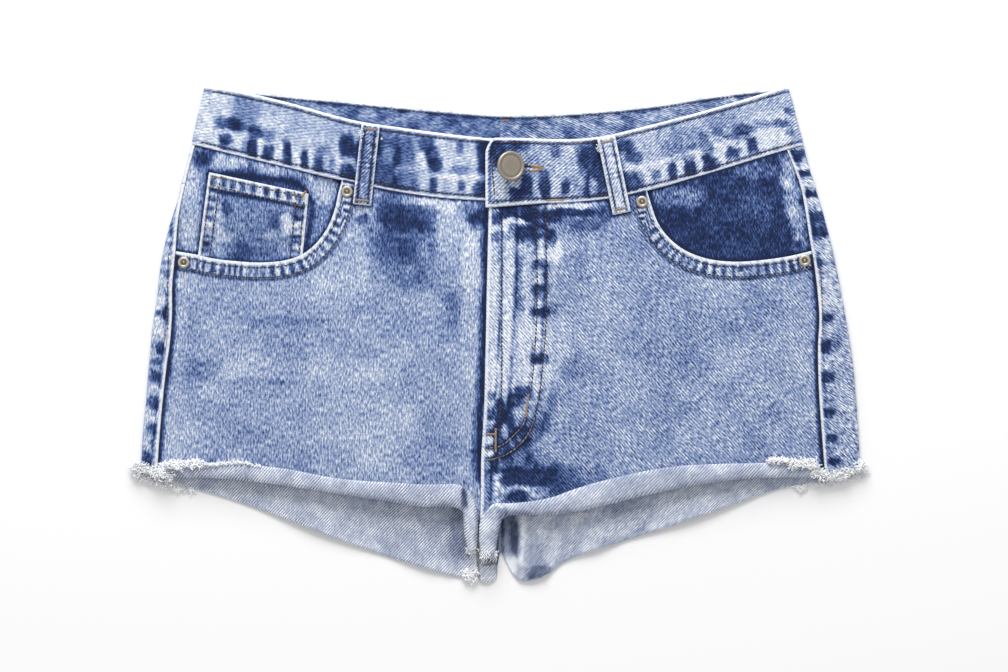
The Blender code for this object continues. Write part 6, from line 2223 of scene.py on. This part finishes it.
@dataclass
class Shorts:
    """The whole garment: builds its pieces in the order of sewing and keeps them for the stitches.

    Attributes:
        cloths: the cloth of each sewn piece by its node's name.
        finishes: the materials by name.
    """

    cloths: dict = field(default_factory=dict)
    finishes: dict = field(default_factory=dict)

    def make_finishes(self) -> None:
        """Makes one material for each finish."""
        tumbled = {"metallic": 0.85, "scale": 520.0, "detail": 5.0, "harshness": 0.65, "mix": 0.6, "bump": 0.35}
        for finish in (
            # Each panel's ribs and flecks run its own way, because each was cut and lies its own way
            AcidWashedDenim("acid_washed_denim_left", twill_degrees=84.0, twill=0.04, fleck=1.75, mottle=0.34,
                            hatch=0.28),
            AcidWashedDenim("acid_washed_denim_right", twill_degrees=131.0, twill=0.13, fleck=1.8, mottle=0.38,
                            hatch=0.22, lean=131.0),
            AcidWashedDenim("acid_washed_denim_back_right", twill_degrees=131.0, twill=0.08, fleck=2.6,
                            mottle=0.38, hatch=0.22, lean=125.0),
            AcidWashedDenim("acid_washed_denim_band_left", twill_degrees=74.0, fleck=1.2, mottle=0.36),
            AcidWashedDenim("acid_washed_denim_band_right", twill_degrees=125.0, twill=0.2, fleck=1.5,
                            mottle=0.36),
            AcidWashedDenim("acid_washed_denim_facing", twill_degrees=118.0, twill=0.08, fleck=2.1, mottle=0.5),
            # Mercerised cotton, washed: a soft sheen, brown-grey where dye has settled and gold where new
            TintedFinish("cotton_topstitch_thread",
                         ((0.3, "231E26"), (0.98, "A87C3C"), (0.5, "574334"), (0.75, "8D8C86")), 0.6),
            # Stamped brass with a plated finish, tumbled in the wash: a satin gloss with darker hollows
            TintedFinish("antique_nickel_plated_brass", ((0.2, "857C71"), (0.95, "A79E92")), 0.5, **tumbled),
            TintedFinish("worn_nickel_rivet", ((0.2, "6E675C"), (0.95, "B9B2A4")), 0.45, **tumbled),
            # Bleached yarn ends: matt, nearly white, with a little blue left in some of them
            TintedFinish("loosened_cotton_yarn", ((0.2, "C3CAD8"), (0.7, "FCFCFD"), (0.4, "E6E9F0")), 0.95,
                         scale=700.0, mix=0.5, bump=0.0),
        ):
            self.finishes[finish.name] = finish.make()

    def sew(self, piece: Piece, finish: str) -> bpy.types.Object:
        """Args:
            piece: what to build.
            finish: the material's name.

        Returns:
            The piece's object.
        """
        cloth = piece.cloth()
        name = cloth.name.removesuffix("_cloth")
        self.cloths[name] = cloth
        obj = cloth.build(self.finishes[finish])
        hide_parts(name)
        LOG.info("%s: %d points", obj.name, len(obj.data.vertices))
        return obj

    def build_cloth(self) -> None:
        """Makes all the sewn pieces."""
        left, right, band_left, band_right = (
            f"acid_washed_denim_{word}" for word in ("left", "right", "band_left", "band_right")
        )
        for side, marks, inner in ((Side.LEFT, LEFT_SIDE_MARKS, LEFT_BACK_MARKS),
                                   (Side.RIGHT, RIGHT_SIDE_MARKS, RIGHT_BACK_MARKS)):
            word, finish = side.word, left if side is Side.LEFT else "acid_washed_denim_back_right"
            self.sew(Back(f"back_{word}", side, 0.0, 110, 110, marks, inner), finish)
            self.sew(Back(f"yoke_{word}", side, 1.0, 92, 26, marks), finish)
        left_facing = PocketFacing(Side.LEFT, 0.47, LEFT_FACING_MARKS)
        self.sew(left_facing, left)
        self.sew(PocketFacing(Side.RIGHT, 0.12, RIGHT_FACING_MARKS), "acid_washed_denim_facing")
        self.sew(CoinPocket(left_facing, COIN_MARKS), left)
        self.sew(Front(Side.LEFT, 0.59, LEFT_FRONT_MARKS, LEFT_FRONT_CREASES, LEFT_ROLL_MARKS, LEFT_ROLL_FOLDS),
                 left)
        self.sew(Front(Side.RIGHT, 0.545, RIGHT_FRONT_MARKS, RIGHT_FRONT_CREASES, RIGHT_ROLL_MARKS,
                       RIGHT_ROLL_FOLDS), right)
        self.sew(Waistband(Side.LEFT, BAND_WASH, LEFT_BAND_MARKS, LEFT_BAND_CREASES), band_left)
        right_band = Waistband(Side.RIGHT, BAND_WASH, RIGHT_BAND_MARKS, RIGHT_BAND_CREASES)
        right_band.cut_hole(self.sew(right_band, band_right))
        for (name, *ends), level in zip(LOOPS, (0.42, 0.74)):
            self.sew(BeltLoop(name, tuple(ends[:2]), tuple(ends[2:]), level), right)

    def side_rows(self, side: Side) -> list[StitchRow]:
        """Rows of one half: both edges of the band, its top edge inside the back, and two along the pocket.

        Args:
            side: which half.

        Returns:
            The rows.
        """
        band, front = self.cloths[f"waistband_{side.word}"], self.cloths[f"front_{side.word}"]
        piece = Waistband(side, 0.0)
        first = 26 if side is Side.LEFT else 4
        rows = []
        for share, tint in ((0.066, 0.16), (0.93, 0.12)):
            line = piece.line(share)[first:piece.front - 2:2, :2]
            rows.append(StitchRow(line, band, tint, part=piece.front_part))
        line = piece.line(0.055)[piece.front + 14::2, :2]
        rows.append(StitchRow(line, band.turned(), 0.15, width=0.85, turn=14.0, part=piece.back_part))
        for shift in (3.0, 9.4):
            rows.append(StitchRow(beside(pocket_of(side), shift, 0.02, 0.98), front, 0.16, part=ON_PANEL))
        return rows

    def coin_rows(self) -> list[StitchRow]:
        """Rows of the coin pocket: two along its hem, and two down each side.

        Returns:
            The rows.
        """
        coin, corners = self.cloths["coin_pocket"], np.array(COIN_CORNERS)
        down = (corners[3] - corners[0]) / np.linalg.norm(corners[3] - corners[0])
        rows = []
        for inset in (2.2, 8.2):
            line = np.linspace(corners[0] + down * inset + (3, 0), corners[1] + down * inset - (3, 0), 12)
            rows.append(StitchRow(line, coin, 0.3))
        for inset in (2.2, 7.6):
            for top, foot, way in ((0, 3, 1), (1, 2, -1)):
                line = np.linspace(corners[top], corners[foot], 12)[1:] + (way * inset, 0)
                rows.append(StitchRow(line, coin, 0.18))
        return rows

    def loop_rows(self, name: str, top: np.ndarray, foot: np.ndarray) -> list[StitchRow]:
        """Rows of a belt loop: one along each edge, and a bar tack at each end.

        Args:
            name: the loop's node.
            top, foot: the middles of its ends.

        Returns:
            The rows.
        """
        down = (foot - top) / np.linalg.norm(foot - top)
        across = np.array((-down[1], down[0]))
        rows = []
        for place in (-3.3, 3.3):
            line = np.linspace(top + down * 5 + across * place, foot - down * 5 + across * place, 10)
            rows.append(StitchRow(line, self.cloths[name], 0.12, width=0.8))
        for end in (top + down * 2.6, foot - down * 2.6):
            ends = np.array((end - across * 4.0, end + across * 4.0))
            rows.append(bar_tack(ends, self.cloths[name], 1.9, 0.6))
        return rows

    def stitch_rows(self) -> list[StitchRow]:
        """Every row of stitches and every bar tack, as they show in the photograph.

        Returns:
            The rows.
        """
        cloths, piece = self.cloths, Waistband(Side.RIGHT, 0.0)
        front, band, coin = cloths["front_right"], cloths["waistband_right"], cloths["coin_pocket"]
        rows = [row for side in Side for row in self.side_rows(side)]
        for places, tint in FLY_ROWS:
            length = 2.65 if tint > 0.4 else 2.3
            rows.append(StitchRow(from_photo(*places), front, tint, length=length, width=0.9, part=ON_PANEL))
        for side, places, tint in OUTSEAM_ROWS:
            at_end = np.s_[:, -14:] if side is Side.LEFT else np.s_[:, :14]
            rows.append(StitchRow(from_photo(*places), cloths[f"back_{side.word}"], tint, width=0.8, part=at_end))
        overlap_end = from_photo((494.5, 196), (493, 160), (495, 148))
        rows.append(StitchRow(overlap_end, band, 0.15, part=piece.front_part))
        inseam = from_photo((482, 565.5), (496, 563.5))
        rows.append(StitchRow(inseam, cloths["back_right"].turned(), 0.75, 1.8, 1.6, 1.0))
        grounds = {
            "fly": (front, ON_PANEL), "band": (band, piece.front_part),
            "inside": (band.turned(), piece.back_part), "coin": (coin, None),
        }
        for ground, start, end, tint, width in TACKS:
            cloth, part = grounds[ground]
            rows.append(bar_tack(from_photo(start, end), cloth, width, tint, part))
        rows += self.coin_rows()
        for name, *ends in LOOPS:
            rows += self.loop_rows(name, np.array(ends[:2]), np.array(ends[2:]))
        return rows

    def build_frays(self) -> None:
        """Makes the frayed ends that stand for the solids' strips: finer threads than the table's, and six for one."""
        for seed, (name, roots, heading, threads, shortest, longest) in enumerate(FRAYS):
            ends = LooseThreads(name, roots, heading, threads * 6, shortest, longest * 1.25, seed=seed + 3)
            obj = thread_object(f"{name}_threads", [ends.bodies()], self.finishes["loosened_cotton_yarn"])
            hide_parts(name)
            LOG.info("%s: %d threads", obj.name, ends.count)

    def build_threads(self) -> None:
        """Makes the stitches, the frayed ends, and the fluff with the overlocked end of the inseam."""
        rng = np.random.default_rng(7)
        rows = self.stitch_rows()
        obj = thread_object("topstitching", [row.bodies(rng) for row in rows],
                            self.finishes["cotton_topstitch_thread"])
        LOG.info("%s: %d rows", obj.name, len(rows))
        self.build_frays()
        parts = []
        for seed, (_, places, heading, threads, shortest, longest, scatter) in enumerate(FLUFF):
            roots = np.array(places, float)
            roots[:, :2] = from_photo(*roots[:, :2])
            fluff = LooseThreads("fluff", roots, heading, threads, shortest, longest, 0.7, seed + 21, scatter)
            parts.append(fluff.bodies())
        for y, turn, word in OVERLOCK_ROWS:
            line, cloth = from_photo((481, y), (497, y - 1.5)), self.cloths[f"{word}_right"].turned()
            part = ON_ROLL if word == "front" else None
            parts.append(StitchRow(line, cloth, 0.4, 1.35, 3.0, 0.6, turn, 0.25, part).bodies(rng))
        obj = thread_object("fluff_at_the_raw_edges", parts, self.finishes["loosened_cotton_yarn"])
        LOG.info("%s: %d bunches", obj.name, len(parts))

    def build_metal(self) -> None:
        """Makes the button and the rivets."""
        lean = math.radians(BUTTON["tilt"])
        foot = at_x(BAND_HEIGHT_LEFT, 0.0) + BAND / 2 + GAP + SHANK_ROOM
        place = (
            BUTTON["x"] + math.sin(lean) * BUTTON["shank"], BUTTON["y"], foot + math.cos(lean) * BUTTON["shank"],
        )
        piece = TurnedPiece("button", BUTTON_FORM, place, BUTTON["tilt"])
        piece.build(self.finishes["antique_nickel_plated_brass"])
        for name, x, y in RIVETS:
            z = float(over_fold(np.array(x), np.array(y))) + DENIM / 2 + POCKET_HEM + GAP + RIVET_FOOT
            piece = TurnedPiece(name, RIVET_FORM, (x, y, z), steps=40)
            piece.build(self.finishes["worn_nickel_rivet"])
            LOG.info("%s: turned", name)


def main() -> None:
    """Builds the studio and the shorts."""
    logging.basicConfig(level=logging.INFO, format="%(message)s")
    bpy.context.scene.view_settings.view_transform = "Standard"
    studio = Studio()
    studio.floor()
    studio.lights()
    studio.camera()
    shorts = Shorts()
    shorts.make_finishes()
    shorts.build_cloth()
    shorts.build_threads()
    shorts.build_metal()


if __name__ == "__main__":
    main()
